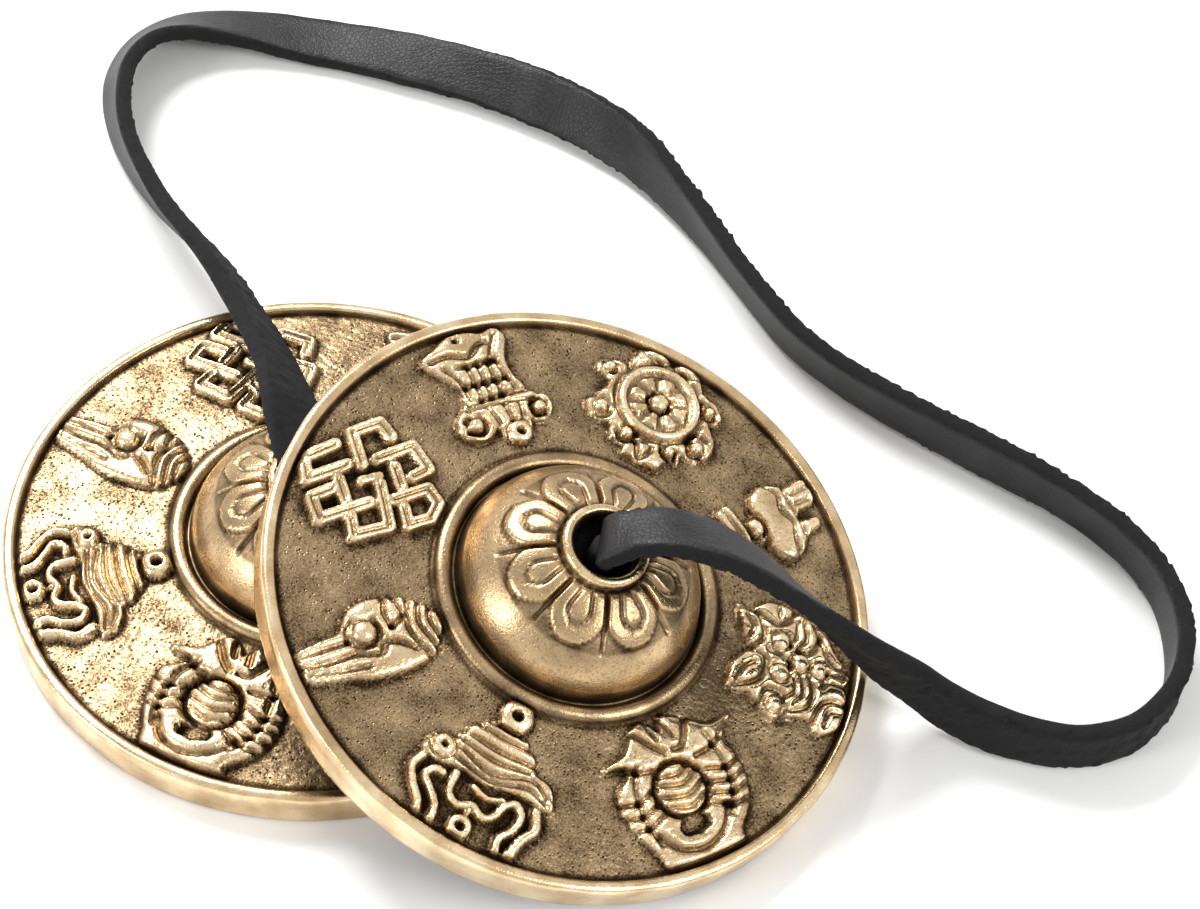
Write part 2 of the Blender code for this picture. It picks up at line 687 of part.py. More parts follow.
def main():
    clear_scene()
    parts = collection("tingsha")
    guides = collection("guides")
    bronze = material("cast_bronze", (0.52, 0.38, 0.22), 0.38, 1.0)
    leather = material("black_leather", (0.018, 0.018, 0.019), 0.62, 0.0)

    casting = casting_mesh(guides)
    casting.materials.clear()
    casting.materials.append(bronze)
    rear_frame = Matrix.Identity(4)
    lean_frame = front_frame()
    rear = add_object("rear_cymbal", casting, parts)
    rear.matrix_world = rear_frame @ Matrix.Rotation(rear_turn, 4, "Z")
    front = add_object("front_cymbal", casting, parts)
    front.matrix_world = lean_frame @ Matrix.Rotation(front_turn, 4, "Z")

    knot = knot_mesh(guides, leather)
    add_object("rear_knot", knot, parts)
    front_knot = add_object("front_knot", knot, parts)
    front_knot.matrix_world = lean_frame
    under_front = lean_height - lean_room - strap_thickness / 2 / math.cos(lean_angle()) - slack
    rear_top = under_front - strap_thickness / 2 - neck_width / 2 * math.sin(lean_angle()) - clearance
    neck("rear_neck", rear_frame, rear_heading, rear_top, parts, leather)
    front_neck = neck("front_neck", lean_frame, front_heading, neck_top, parts, leather)
    pivot("front_tilt_axis", tilt_axis_point(lean_frame), [front_knot, front_neck], parts)

    gap = clearance / 2
    plane = (lean_frame.to_3x3() @ Vector((0.0, 0.0, 1.0))).normalized()
    over_front = neck_top + clearance + strap_thickness / 2
    run("rear_strap", rear_route, rear_frame, rear_heading, under_front, plane, parts, leather, gap, Vector())
    run("front_strap", front_route, lean_frame, front_heading, over_front, plane, parts, leather,
        -gap, bend_axis_point())
    centre_on_origin([rear, front], list(parts.objects))


main()
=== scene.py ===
import json
import math

import bmesh
import bpy
import numpy as np
from mathutils import Matrix, Vector


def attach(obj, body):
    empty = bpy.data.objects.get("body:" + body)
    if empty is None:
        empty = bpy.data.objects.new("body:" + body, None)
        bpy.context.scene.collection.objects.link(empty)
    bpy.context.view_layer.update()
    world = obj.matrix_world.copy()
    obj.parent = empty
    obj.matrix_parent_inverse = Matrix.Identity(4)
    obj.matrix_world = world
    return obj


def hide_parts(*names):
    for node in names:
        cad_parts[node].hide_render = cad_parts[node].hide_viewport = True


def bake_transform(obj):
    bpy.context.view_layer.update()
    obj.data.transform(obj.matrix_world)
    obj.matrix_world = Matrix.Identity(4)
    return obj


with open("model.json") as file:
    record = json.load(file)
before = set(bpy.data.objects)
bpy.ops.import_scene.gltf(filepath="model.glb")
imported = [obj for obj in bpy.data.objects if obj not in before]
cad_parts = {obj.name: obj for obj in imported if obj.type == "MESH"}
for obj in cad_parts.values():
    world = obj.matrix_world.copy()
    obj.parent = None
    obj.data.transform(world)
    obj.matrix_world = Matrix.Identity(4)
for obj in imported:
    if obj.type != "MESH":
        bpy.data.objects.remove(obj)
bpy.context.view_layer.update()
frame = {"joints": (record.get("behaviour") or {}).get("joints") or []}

scene = bpy.context.scene
mm = 0.001


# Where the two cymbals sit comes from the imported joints

joints = {joint["name"]: joint for joint in frame["joints"]}
cymbalHeight = 15.9 * mm
rearCentre = Vector(joints["rear_swivel"]["pos_m"])
rearCentre.z = 0.0
frontAxis = Vector(joints["front_swivel"]["axis"]).normalized()
frontCentre = Vector(joints["front_swivel"]["pos_m"]) - frontAxis * cymbalHeight
rearPlace = Matrix.Translation(rearCentre)
frontPlace = (Matrix.Translation(frontCentre)
              @ Vector((0, 0, 1)).rotation_difference(frontAxis).to_matrix().to_4x4())


# Camera, from the photograph's own perspective

camera = {
    "photoWidth": 1200,
    "photoHeight": 909,
    "focal": 2800,  # in pixels of the photograph
    "lookDown": 52.45,  # degrees below level
    "roll": 7.34,
    "distance": 323.59 * mm,
    "rearHub": (313.2, 558.24),  # where the rear cymbal's centre falls, in pixels
}


def makeCamera(settings):
    down = math.radians(settings["lookDown"])
    roll = math.radians(settings["roll"])
    ahead = Vector((0, math.cos(down), -math.sin(down)))
    level = Vector((1, 0, 0))
    rise = level.cross(ahead)
    right = level * math.cos(roll) + rise * math.sin(roll)
    up = rise * math.cos(roll) - level * math.sin(roll)
    acrossPixels = settings["rearHub"][0] - settings["photoWidth"] / 2
    downPixels = settings["rearHub"][1] - settings["photoHeight"] / 2
    toHub = ahead + right * acrossPixels / settings["focal"] - up * downPixels / settings["focal"]
    data = bpy.data.cameras.new("photoCamera")
    data.sensor_width = 36
    data.sensor_fit = "HORIZONTAL"
    data.lens = 36 * settings["focal"] / settings["photoWidth"]
    data.clip_start = 0.01
    item = bpy.data.objects.new("photoCamera", data)
    scene.collection.objects.link(item)
    turn = Matrix((right, up, -ahead)).transposed()
    item.matrix_world = Matrix.Translation(rearCentre - toHub * settings["distance"]) @ turn.to_4x4()
    scene.camera = item


makeCamera(camera)
print("camera made")


# Small helpers for node trees

def toLinear(hexColour):
    parts = [int(hexColour[i:i + 2], 16) / 255 for i in (1, 3, 5)]
    return tuple(c / 12.92 if c <= 0.04045 else ((c + 0.055) / 1.055) ** 2.4 for c in parts) + (1.0,)


def addNode(tree, kind, links=None, **settings):
    # links: input name or number -> socket of another node; settings: node properties or inputs
    node = tree.nodes.new(kind)
    for key, value in settings.items():
        if hasattr(node, key):
            setattr(node, key, value)
        else:
            node.inputs[key.replace("_", " ")].default_value = value
    for key, socket in (links or {}).items():
        tree.links.new(socket, node.inputs[key])
    return node


def startMaterial(name):
    made = bpy.data.materials.new(name)
    made.use_nodes = True
    return made, made.node_tree, made.node_tree.nodes["Principled BSDF"]


def ramp(tree, source, stops):
    # stops: position -> hex colour or grey number
    node = addNode(tree, "ShaderNodeValToRGB", {0: source})
    elements = node.color_ramp.elements
    while len(elements) < len(stops):
        elements.new(0.5)
    for element, (place, tone) in zip(elements, stops):
        element.position = place
        element.color = toLinear(tone) if isinstance(tone, str) else (tone, tone, tone, 1.0)
    return node.outputs["Color"]


# Cast bronze: sand-cast, darkened, then rubbed. The hollows stay brown-black from the patina, with painted
# shade added round the foot of the relief, and the raised work and edges shine a warm yellow, with fine pits
# all over from the sand.

bronze = {
    "deep": "#1a120b",
    "shade": "#4d3c28",
    "ground": "#927c5e",
    "rubbed": "#c8ab82",
    "bright": "#efd9b2",
    "mottle": 4.0 * mm,
    "pits": 0.50 * mm,
    "patches": 1.1 * mm,
    "grain": 0.20 * mm,
    "bumpDepth": 0.10 * mm,
}


def castBronze():
    made, tree, shader = startMaterial("castBronze")
    place = addNode(tree, "ShaderNodeTexCoord").outputs["Object"]
    # rubbing and patina, with painted shade round the foot of the relief
    wearAndShade = addNode(tree, "ShaderNodeAttribute", attribute_name="wearAndShade").outputs["Fac"]
    mottle = addNode(tree, "ShaderNodeTexNoise", {"Vector": place}, Scale=1 / bronze["mottle"], Detail=6.0)
    fine = addNode(tree, "ShaderNodeTexNoise", {"Vector": place}, Scale=1 / bronze["grain"], Detail=3.0)
    pits = addNode(tree, "ShaderNodeTexVoronoi", {"Vector": place}, Scale=1 / bronze["pits"], Randomness=1.0)
    pitMask = ramp(tree, pits.outputs["Distance"], [(0.16, 0.0), (0.36, 1.0)])
    patchy = addNode(tree, "ShaderNodeTexNoise", {"Vector": place}, Scale=1 / bronze["patches"], Detail=4.0)
    pitOn = ramp(tree, patchy.outputs["Fac"], [(0.40, 1.0), (0.56, 0.0)])
    sand = addNode(tree, "ShaderNodeAttribute", attribute_name="sand").outputs["Fac"]
    smoothed = addNode(tree, "ShaderNodeMath", {1: sand}, operation="SUBTRACT")
    smoothed.inputs[0].default_value = 1.0
    somewhere = addNode(tree, "ShaderNodeMath", {0: pitMask, 1: pitOn}, operation="MAXIMUM").outputs[0]
    pitted = addNode(tree, "ShaderNodeMath", {0: somewhere, 1: smoothed.outputs[0]},
                     operation="MAXIMUM").outputs[0]

    drift = addNode(tree, "ShaderNodeMath", {0: mottle.outputs["Fac"]}, operation="SUBTRACT")
    drift.inputs[1].default_value = 0.5
    spread = addNode(tree, "ShaderNodeMath", {0: drift.outputs[0], 2: wearAndShade}, operation="MULTIPLY_ADD")
    spread.inputs[1].default_value = 0.75
    grainy = addNode(tree, "ShaderNodeMath", {0: fine.outputs["Fac"]}, operation="SUBTRACT")
    grainy.inputs[1].default_value = 0.5
    speckle = addNode(tree, "ShaderNodeMapRange", {"Value": sand})
    speckle.inputs["To Min"].default_value = 0.18
    speckle.inputs["To Max"].default_value = 0.85
    level = addNode(tree, "ShaderNodeMath",
                    {0: grainy.outputs[0], 1: speckle.outputs[0], 2: spread.outputs[0]},
                    operation="MULTIPLY_ADD")
    tone = ramp(tree, level.outputs[0], [
        (0.05, bronze["deep"]), (0.26, bronze["shade"]), (0.50, bronze["ground"]),
        (0.74, bronze["rubbed"]), (0.97, bronze["bright"])])
    dark = addNode(tree, "ShaderNodeMix", {"Factor": pitted}, data_type="RGBA", blend_type="MIX")
    dark.inputs[6].default_value = toLinear(bronze["deep"])
    tree.links.new(tone, dark.inputs[7])
    tree.links.new(dark.outputs[2], shader.inputs["Base Color"])
    shader.inputs["Metallic"].default_value = 1.0
    gloss = ramp(tree, level.outputs[0], [(0.15, 0.60), (0.45, 0.34), (0.75, 0.20)])
    tree.links.new(gloss, shader.inputs["Roughness"])

    relief = addNode(tree, "ShaderNodeMath", {0: pitted}, operation="MULTIPLY")
    relief.inputs[1].default_value = 0.7
    surface = addNode(tree, "ShaderNodeMath", {0: fine.outputs["Fac"], 2: relief.outputs[0]},
                      operation="MULTIPLY_ADD")
    surface.inputs[1].default_value = 0.6
    bump = addNode(tree, "ShaderNodeBump", {"Height": surface.outputs[0]}, Strength=0.55,
                   Distance=bronze["bumpDepth"])
    tree.links.new(bump.outputs["Normal"], shader.inputs["Normal"])
    return made


# Leather: black drum-dyed hide cut into a lace. The grain side is smooth with a soft sheen,
# the flesh side and the cut edges are matt and fibrous.

leather = {
    "dye": "#0b0b0c",
    "scuff": "#232325",
    "fibre": "#141415",
    "grain": 0.55 * mm,
    "nap": 0.22 * mm,
    "scuffs": 5 * mm,
    "bumpDepth": 0.16 * mm,
}


def dyedLeather():
    made, tree, shader = startMaterial("dyedLeather")
    place = addNode(tree, "ShaderNodeTexCoord").outputs["Object"]
    rough = addNode(tree, "ShaderNodeAttribute", attribute_name="rough").outputs["Fac"]
    shader.inputs["Specular IOR Level"].default_value = 0.32
    wrinkle = addNode(tree, "ShaderNodeTexVoronoi", {"Vector": place}, Scale=1 / leather["grain"],
                      feature="DISTANCE_TO_EDGE")
    nap = addNode(tree, "ShaderNodeTexNoise", {"Vector": place}, Scale=1 / leather["nap"], Detail=5.0)
    broad = addNode(tree, "ShaderNodeTexNoise", {"Vector": place}, Scale=1 / leather["scuffs"], Detail=5.0)
    smooth = ramp(tree, broad.outputs["Fac"], [(0.42, leather["dye"]), (0.72, leather["scuff"])])
    fuzzy = ramp(tree, nap.outputs["Fac"], [(0.35, leather["dye"]), (0.75, leather["fibre"])])
    colour = addNode(tree, "ShaderNodeMix", {"Factor": rough}, data_type="RGBA")
    tree.links.new(smooth, colour.inputs[6])
    tree.links.new(fuzzy, colour.inputs[7])
    tree.links.new(colour.outputs[2], shader.inputs["Base Color"])
    gloss = addNode(tree, "ShaderNodeMapRange", {"Value": rough})
    gloss.inputs["To Min"].default_value = 0.46
    gloss.inputs["To Max"].default_value = 0.92
    tree.links.new(gloss.outputs[0], shader.inputs["Roughness"])
    creases = ramp(tree, wrinkle.outputs["Distance"], [(0.0, 0.0), (0.18, 1.0)])
    height = addNode(tree, "ShaderNodeMix", {"Factor": rough}, data_type="RGBA")
    tree.links.new(creases, height.inputs[6])
    tree.links.new(nap.outputs["Fac"], height.inputs[7])
    amount = addNode(tree, "ShaderNodeMapRange", {"Value": rough})
    amount.inputs["To Min"].default_value = 0.25
    amount.inputs["To Max"].default_value = 0.9
    bump = addNode(tree, "ShaderNodeBump", {"Height": height.outputs[2], "Strength": amount.outputs[0]},
                   Distance=leather["bumpDepth"])
    tree.links.new(bump.outputs["Normal"], shader.inputs["Normal"])
    return made


bronzeFinish = castBronze()
leatherFinish = dyedLeather()
print("finishes made")


# Strap: one flat strip. Each row is a place in millimetres from the rear cymbal's centre, then
# the lean in degrees: 0 stands the strip on edge with its grain side left, -90 lays it grain up.

strap = {
    "width": 7.4 * mm,
    "thickness": 2.0 * mm,
    "endWidth": 6.2 * mm,
    "edgeRound": 0.45 * mm,
    "length": 338 * mm,
    "step": 0.55 * mm,
    "fray": 0.09 * mm,
    "frontTop": 17.2 * mm,  # height of each end over its own cymbal's rim
    "rearTop": 17.1 * mm,
    "endBend": 1.5 * mm,
    "narrowing": 30,  # sections over which each end narrows
    "blendLength": 5 * mm,
}
frontRoute = [
    (36.4, -10.7, 27.7, -79), (39.9, -10.5, 28.3, -75), (44.8, -10.5, 27.2, -66), (49.8, -10.6, 24.2, -57),
    (55.0, -10.9, 19.8, -48), (59.9, -10.9, 15.2, -38), (64.3, -11.1, 11.2, -24), (69.6, -11.4, 7.0, -9),
    (75.0, -12.9, 4.6, 0), (81.0, -14.6, 4.2, 0), (87.7, -15.0, 4.2, -3), (93.7, -12.7, 4.2, -3),
    (97.8, -8.2, 4.2, 0), (99.6, -3.7, 4.2, 0), (99.9, 1.3, 4.2, 0), (98.7, 7.0, 4.2, 3),
    (95.8, 12.0, 4.2, 7), (91.4, 16.3, 4.2, 9), (85.7, 20.2, 4.2, 8), (79.0, 23.6, 4.2, 6),
    (72.0, 27.0, 4.2, 7), (65.1, 30.5, 4.2, 10), (58.6, 34.4, 4.2, 12), (52.7, 39.3, 4.2, 12),
    (46.8, 46.8, 4.2, 12), (40.0, 56.2, 4.2, 6), (32.4, 65.2, 4.2, -14), (26.0, 70.2, 4.1, -33),
    (18.4, 74.2, 3.7, -49), (9.4, 77.5, 3.1, -62), (-2.8, 80.2, 2.3, -76), (-12.9, 81.6, 1.6, -88),
    (-22.0, 81.7, 2.1, -103), (-29.8, 79.8, 3.1, -119), (-34.6, 75.5, 3.8, -135), (-36.4, 69.0, 4.2, -151),
    (-35.2, 61.8, 4.3, -167), (-32.5, 55.6, 4.3, -180),
]
rearRoute = [
    (-28.4, 49.2, 5.0, -191), (-24.6, 44.0, 6.2, -201), (-20.8, 39.3, 7.6, -207),
    (-17.0, 34.3, 8.9, -211), (-13.0, 28.2, 9.9, -214), (-9.4, 22.0, 11.6, -218), (-6.2, 15.2, 14.0, -223),
    (-4.2, 9.6, 16.2, -236), (-2.9, 5.8, 17.0, -250), (-1.9, 2.9, 17.3, -268),
]


def smoothRows(rows, spans):
    out = []
    for i in range(len(rows) - 1):
        a, b = rows[max(i - 1, 0)], rows[i]
        c, d = rows[i + 1], rows[min(i + 2, len(rows) - 1)]
        for k in range(spans):
            t = k / spans
            out.append([0.5 * (2 * q + (r - p) * t + (2 * p - 5 * q + 4 * r - s) * t * t
                               + (3 * q - p - 3 * r + s) * t ** 3) for p, q, r, s in zip(a, b, c, d)])
    out.append(list(rows[-1]))
    return out


def leanSide(travel, lean):
    left = Vector((0, 0, 1)).cross(travel).normalized()
    return travel.cross(left) * math.cos(lean) + left * math.sin(lean)


def turnDown(last, place, height, underFront):
    # the strip's end: level over the hole, then a quarter turn down into it
    axis = (place.to_3x3() @ Vector((0, 0, 1))).normalized()
    side = (last[1] - axis * last[1].dot(axis)).normalized()
    if underFront:
        side = (side - frontAxis * side.dot(frontAxis)).normalized()
    top = place @ Vector((0, 0, height))
    onward = top - last[0]
    onward = (onward - side * onward.dot(side)).normalized()
    bend = strap["endBend"]
    out = []
    for share in (0.2, 0.4, 0.6, 0.8, 1.0):
        angle = share * math.pi / 2
        out.append([top - onward * bend * (1 - math.sin(angle)) - axis * bend * (1 - math.cos(angle)),
                    side.copy(), strap["endWidth"]])
    return out


def strapSections():
    rows = smoothRows(frontRoute + rearRoute, 12)
    centres = [rearCentre + Vector(row[:3]) * mm for row in rows]
    sections = []
    for i, centre in enumerate(centres):
        travel = (centres[min(i + 1, len(rows) - 1)] - centres[max(i - 1, 0)]).normalized()
        sections.append([centre, leanSide(travel, math.radians(rows[i][3])), strap["width"]])
    frontEnd = turnDown(sections[0], frontPlace, strap["frontTop"], False)
    rearEnd = turnDown(sections[-1], rearPlace, strap["rearTop"], True)
    for i in range(strap["narrowing"]):
        share = i / strap["narrowing"]
        width = strap["endWidth"] + (strap["width"] - strap["endWidth"]) * share
        sections[i][2] = width
        sections[-1 - i][2] = width
    return frontEnd[::-1] + sections + rearEnd


def resample(sections, step):
    # even steps along the strip, so that its grain and its fibres are even too
    gaps = [0.0]
    for first, second in zip(sections, sections[1:]):
        gaps.append(gaps[-1] + (second[0] - first[0]).length)
    count = int(gaps[-1] / step)
    out = []
    at = 0
    for k in range(count + 1):
        goal = gaps[-1] * k / count
        while at < len(gaps) - 2 and gaps[at + 1] < goal:
            at += 1
        share = (goal - gaps[at]) / max(gaps[at + 1] - gaps[at], 1e-9)
        first, second = sections[at], sections[at + 1]
        out.append([first[0].lerp(second[0], share), first[1].lerp(second[1], share).normalized(),
                    first[2] + (second[2] - first[2]) * share])
    return out


def ringOutline(width, thickness, bend):
    # once round the strip's section, with how fibrous each point is: 0 on the grain side
    points = []
    halfWidth, half = width / 2, thickness / 2
    inner = halfWidth - bend
    for k in range(9):
        points.append((-inner + 2 * inner * k / 8, -half, 0.0))
    for k in range(1, 6):
        angle = -math.pi / 2 + math.pi * k / 6
        points.append((inner + bend * math.cos(angle), (half - 0.1 * mm) * math.sin(angle), 1.0))
    for k in range(9):
        points.append((inner - 2 * inner * k / 8, half, 1.0))
    for k in range(1, 6):
        angle = math.pi / 2 + math.pi * k / 6
        points.append((-inner + bend * math.cos(angle), (half - 0.1 * mm) * math.sin(angle), 1.0))
    return points


def makeStrap():
    sections = resample(strapSections(), strap["step"])
    shape = bmesh.new()
    rough = shape.verts.layers.float.new("rough")
    chance = np.random.default_rng(7)
    rings = []
    for i, (centre, side, width) in enumerate(sections):
        before, after = sections[max(i - 1, 0)][0], sections[min(i + 1, len(sections) - 1)][0]
        travel = (after - before).normalized()
        through = travel.cross(side).normalized()
        side = through.cross(travel).normalized()
        ring = []
        # a hand-cut strip isn't quite even in width
        waver = 1 + 0.015 * math.sin(i * 0.21) + 0.010 * math.sin(i * 0.57 + 1)
        for across, depth, fibre in ringOutline(width * waver, strap["thickness"], strap["edgeRound"]):
            fray = fibre * strap["fray"] * chance.standard_normal()
            spot = shape.verts.new(centre + side * (across + fray * 0.7) + through * (depth + fray))
            spot[rough] = fibre
            ring.append(spot)
        rings.append(ring)
    for first, second in zip(rings, rings[1:]):
        for k in range(len(first)):
            shape.faces.new((first[k], first[k - 1], second[k - 1], second[k]))
    shape.faces.new(rings[0])
    shape.faces.new(rings[-1][::-1])
    bmesh.ops.recalc_face_normals(shape, faces=shape.faces)
    mesh = bpy.data.meshes.new("leatherStrap")
    shape.to_mesh(mesh)
    shape.free()
    mesh.shade_smooth()
    mesh.materials.append(leatherFinish)
    item = bpy.data.objects.new("leatherStrap", mesh)
    scene.collection.objects.link(item)
    return item, [section[0] for section in sections]


strapPiece, strapLine = makeStrap()


# Knots inside the domes: an overhand knot in the same strip, rolled up on itself

knot = {
    "cord": 3.0 * mm,
    "reach": 3.4 * mm,
    "level": 8.85 * mm,
    "neck": (15.3 * mm, 14.0 * mm, 12.6 * mm),
    "gap": 0.3 * mm,
    "start": 0.02,  # the share of the closed knot where it is cut open
    "span": 0.93,
    "roughness": 0.8,
    "steps": 150,
}


def makeKnot(name, place):
    small = knot["cord"] / 2 + knot["gap"] / 2
    line = [Vector((0, 0, height)) for height in knot["neck"]]
    for k in range(knot["steps"] + 1):
        share = knot["start"] + knot["span"] * k / knot["steps"]
        around, over = math.tau * 2 * share, math.tau * 3 * share + math.pi / 2
        away = knot["reach"] + small * math.cos(over)
        line.append(Vector((away * math.cos(around), away * math.sin(around),
                            knot["level"] + small * math.sin(over))))
    curve = bpy.data.curves.new(name, "CURVE")
    curve.dimensions = "3D"
    curve.fill_mode = "FULL"
    curve.bevel_depth = knot["cord"] / 2
    curve.bevel_resolution = 3
    curve.use_fill_caps = True
    spline = curve.splines.new("POLY")
    spline.points.add(len(line) - 1)
    for point, spot in zip(spline.points, line):
        point.co = (*spot, 1.0)
    rough = bpy.data.objects.new(name + "Curve", curve)
    scene.collection.objects.link(rough)
    bpy.context.view_layer.update()
    mesh = bpy.data.meshes.new_from_object(rough.evaluated_get(bpy.context.evaluated_depsgraph_get()))
    bpy.data.objects.remove(rough)
    shape = bmesh.new()
    shape.from_mesh(mesh)
    bmesh.ops.remove_doubles(shape, verts=shape.verts, dist=0.01 * mm)
    layer = shape.verts.layers.float.new("rough")
    for spot in shape.verts:
        spot[layer] = knot["roughness"]
    bmesh.ops.transform(shape, matrix=place, verts=shape.verts)
    bmesh.ops.recalc_face_normals(shape, faces=shape.faces)
    shape.to_mesh(mesh)
    shape.free()
    mesh.name = name
    mesh.shade_smooth()
    mesh.materials.clear()
    mesh.materials.append(leatherFinish)
    item = bpy.data.objects.new(name, mesh)
    scene.collection.objects.link(item)
    return item


rearKnot = makeKnot("rearKnot", rearPlace)
frontKnot = makeKnot("frontKnot", frontPlace)
print("strap and knots made")


# Cymbal casting: a turned profile whose face is then pushed up into the relief

casting = {
    "aroundSteps": 600,
    "reliefRise": 1.15 * mm,
    "petals": 8,
    "petalRise": 0.62,  # share of the symbols' rise
}
# the turned face's own sizes, in millimetres
dome = {"radius": 13.9, "foot": 5.2, "rise": 9.95}
bead = {"radius": 15.3, "half": 1.05, "rise": 1.0}
plate = {"start": 15.4, "width": 18.0, "fall": 1.1, "edge": 33.2}
hollow = {"radius": 11.8, "spring": 3.52, "rise": 9.11, "mouth": 4.0}


def heightOf(radius):
    # the plain face, in millimetres: dome, bead ring and plate
    crown = dome["foot"] + dome["rise"] * np.sqrt(np.clip(1 - (radius / dome["radius"]) ** 2, 0, 1))
    level = dome["foot"] - plate["fall"] * (radius - plate["start"]) / plate["width"]
    ring = bead["rise"] * np.sqrt(np.clip(1 - ((radius - bead["radius"]) / bead["half"]) ** 2, 0, 1))
    return np.where(radius < dome["radius"], crown, level + ring)


def faceRings():
    # (radius, height) of each ring in millimetres, from the hole's mouth out to the rim
    rings = [(3.7, 12.9), (3.7, 13.8), (3.7, 15.2), (3.78, 15.55), (3.98, 15.8), (4.25, 15.9), (4.5, 15.88),
             (4.75, 15.75), (4.9, 15.5), (4.93, 15.1), (4.97, 14.55)]
    start, end = math.acos(5.1 / dome["radius"]), 0.0
    for k in range(38):
        angle = start + (end - start) * k / 37
        rings.append((dome["radius"] * math.cos(angle), dome["foot"] + dome["rise"] * math.sin(angle)))
    rings += [(14.15, 5.12)]
    for k in range(9):
        angle = math.pi * (1 - k / 8)
        rings.append((bead["radius"] + bead["half"] * math.cos(angle),
                      dome["foot"] + bead["rise"] * math.sin(angle)))
    rings += [(r, float(heightOf(np.array(r)))) for r in np.arange(16.7, 33.01, 0.205)]
    rings += [(33.25, 4.0), (33.42, 4.15), (33.55, 4.5), (33.72, 4.74), (34.0, 4.8), (34.45, 4.78),
              (34.75, 4.66), (34.93, 4.42), (35.0, 4.1), (35.0, 3.2), (34.97, 2.2), (35.0, 1.1),
              (34.95, 0.5), (34.75, 0.15), (34.4, 0.0), (31.6, 0.0), (30.9, 0.7), (12.5, 0.7),
              (11.8, 1.2)]
    for k in range(9):
        angle = math.acos(hollow["mouth"] / hollow["radius"]) * k / 8
        rings.append((hollow["radius"] * math.cos(angle),
                      hollow["spring"] + hollow["rise"] * math.sin(angle)))
    return rings


# The eight symbols. Strokes are in millimetres in each symbol's own frame: first number along
# the rim, clockwise, second number outward. at: angle and distance of its middle; mass: raised
# body; vein: raised line with its width; ring and spokes: a wheel; ball: raised boss; pit: hole
# pressed in; cut: engraved line with its width.

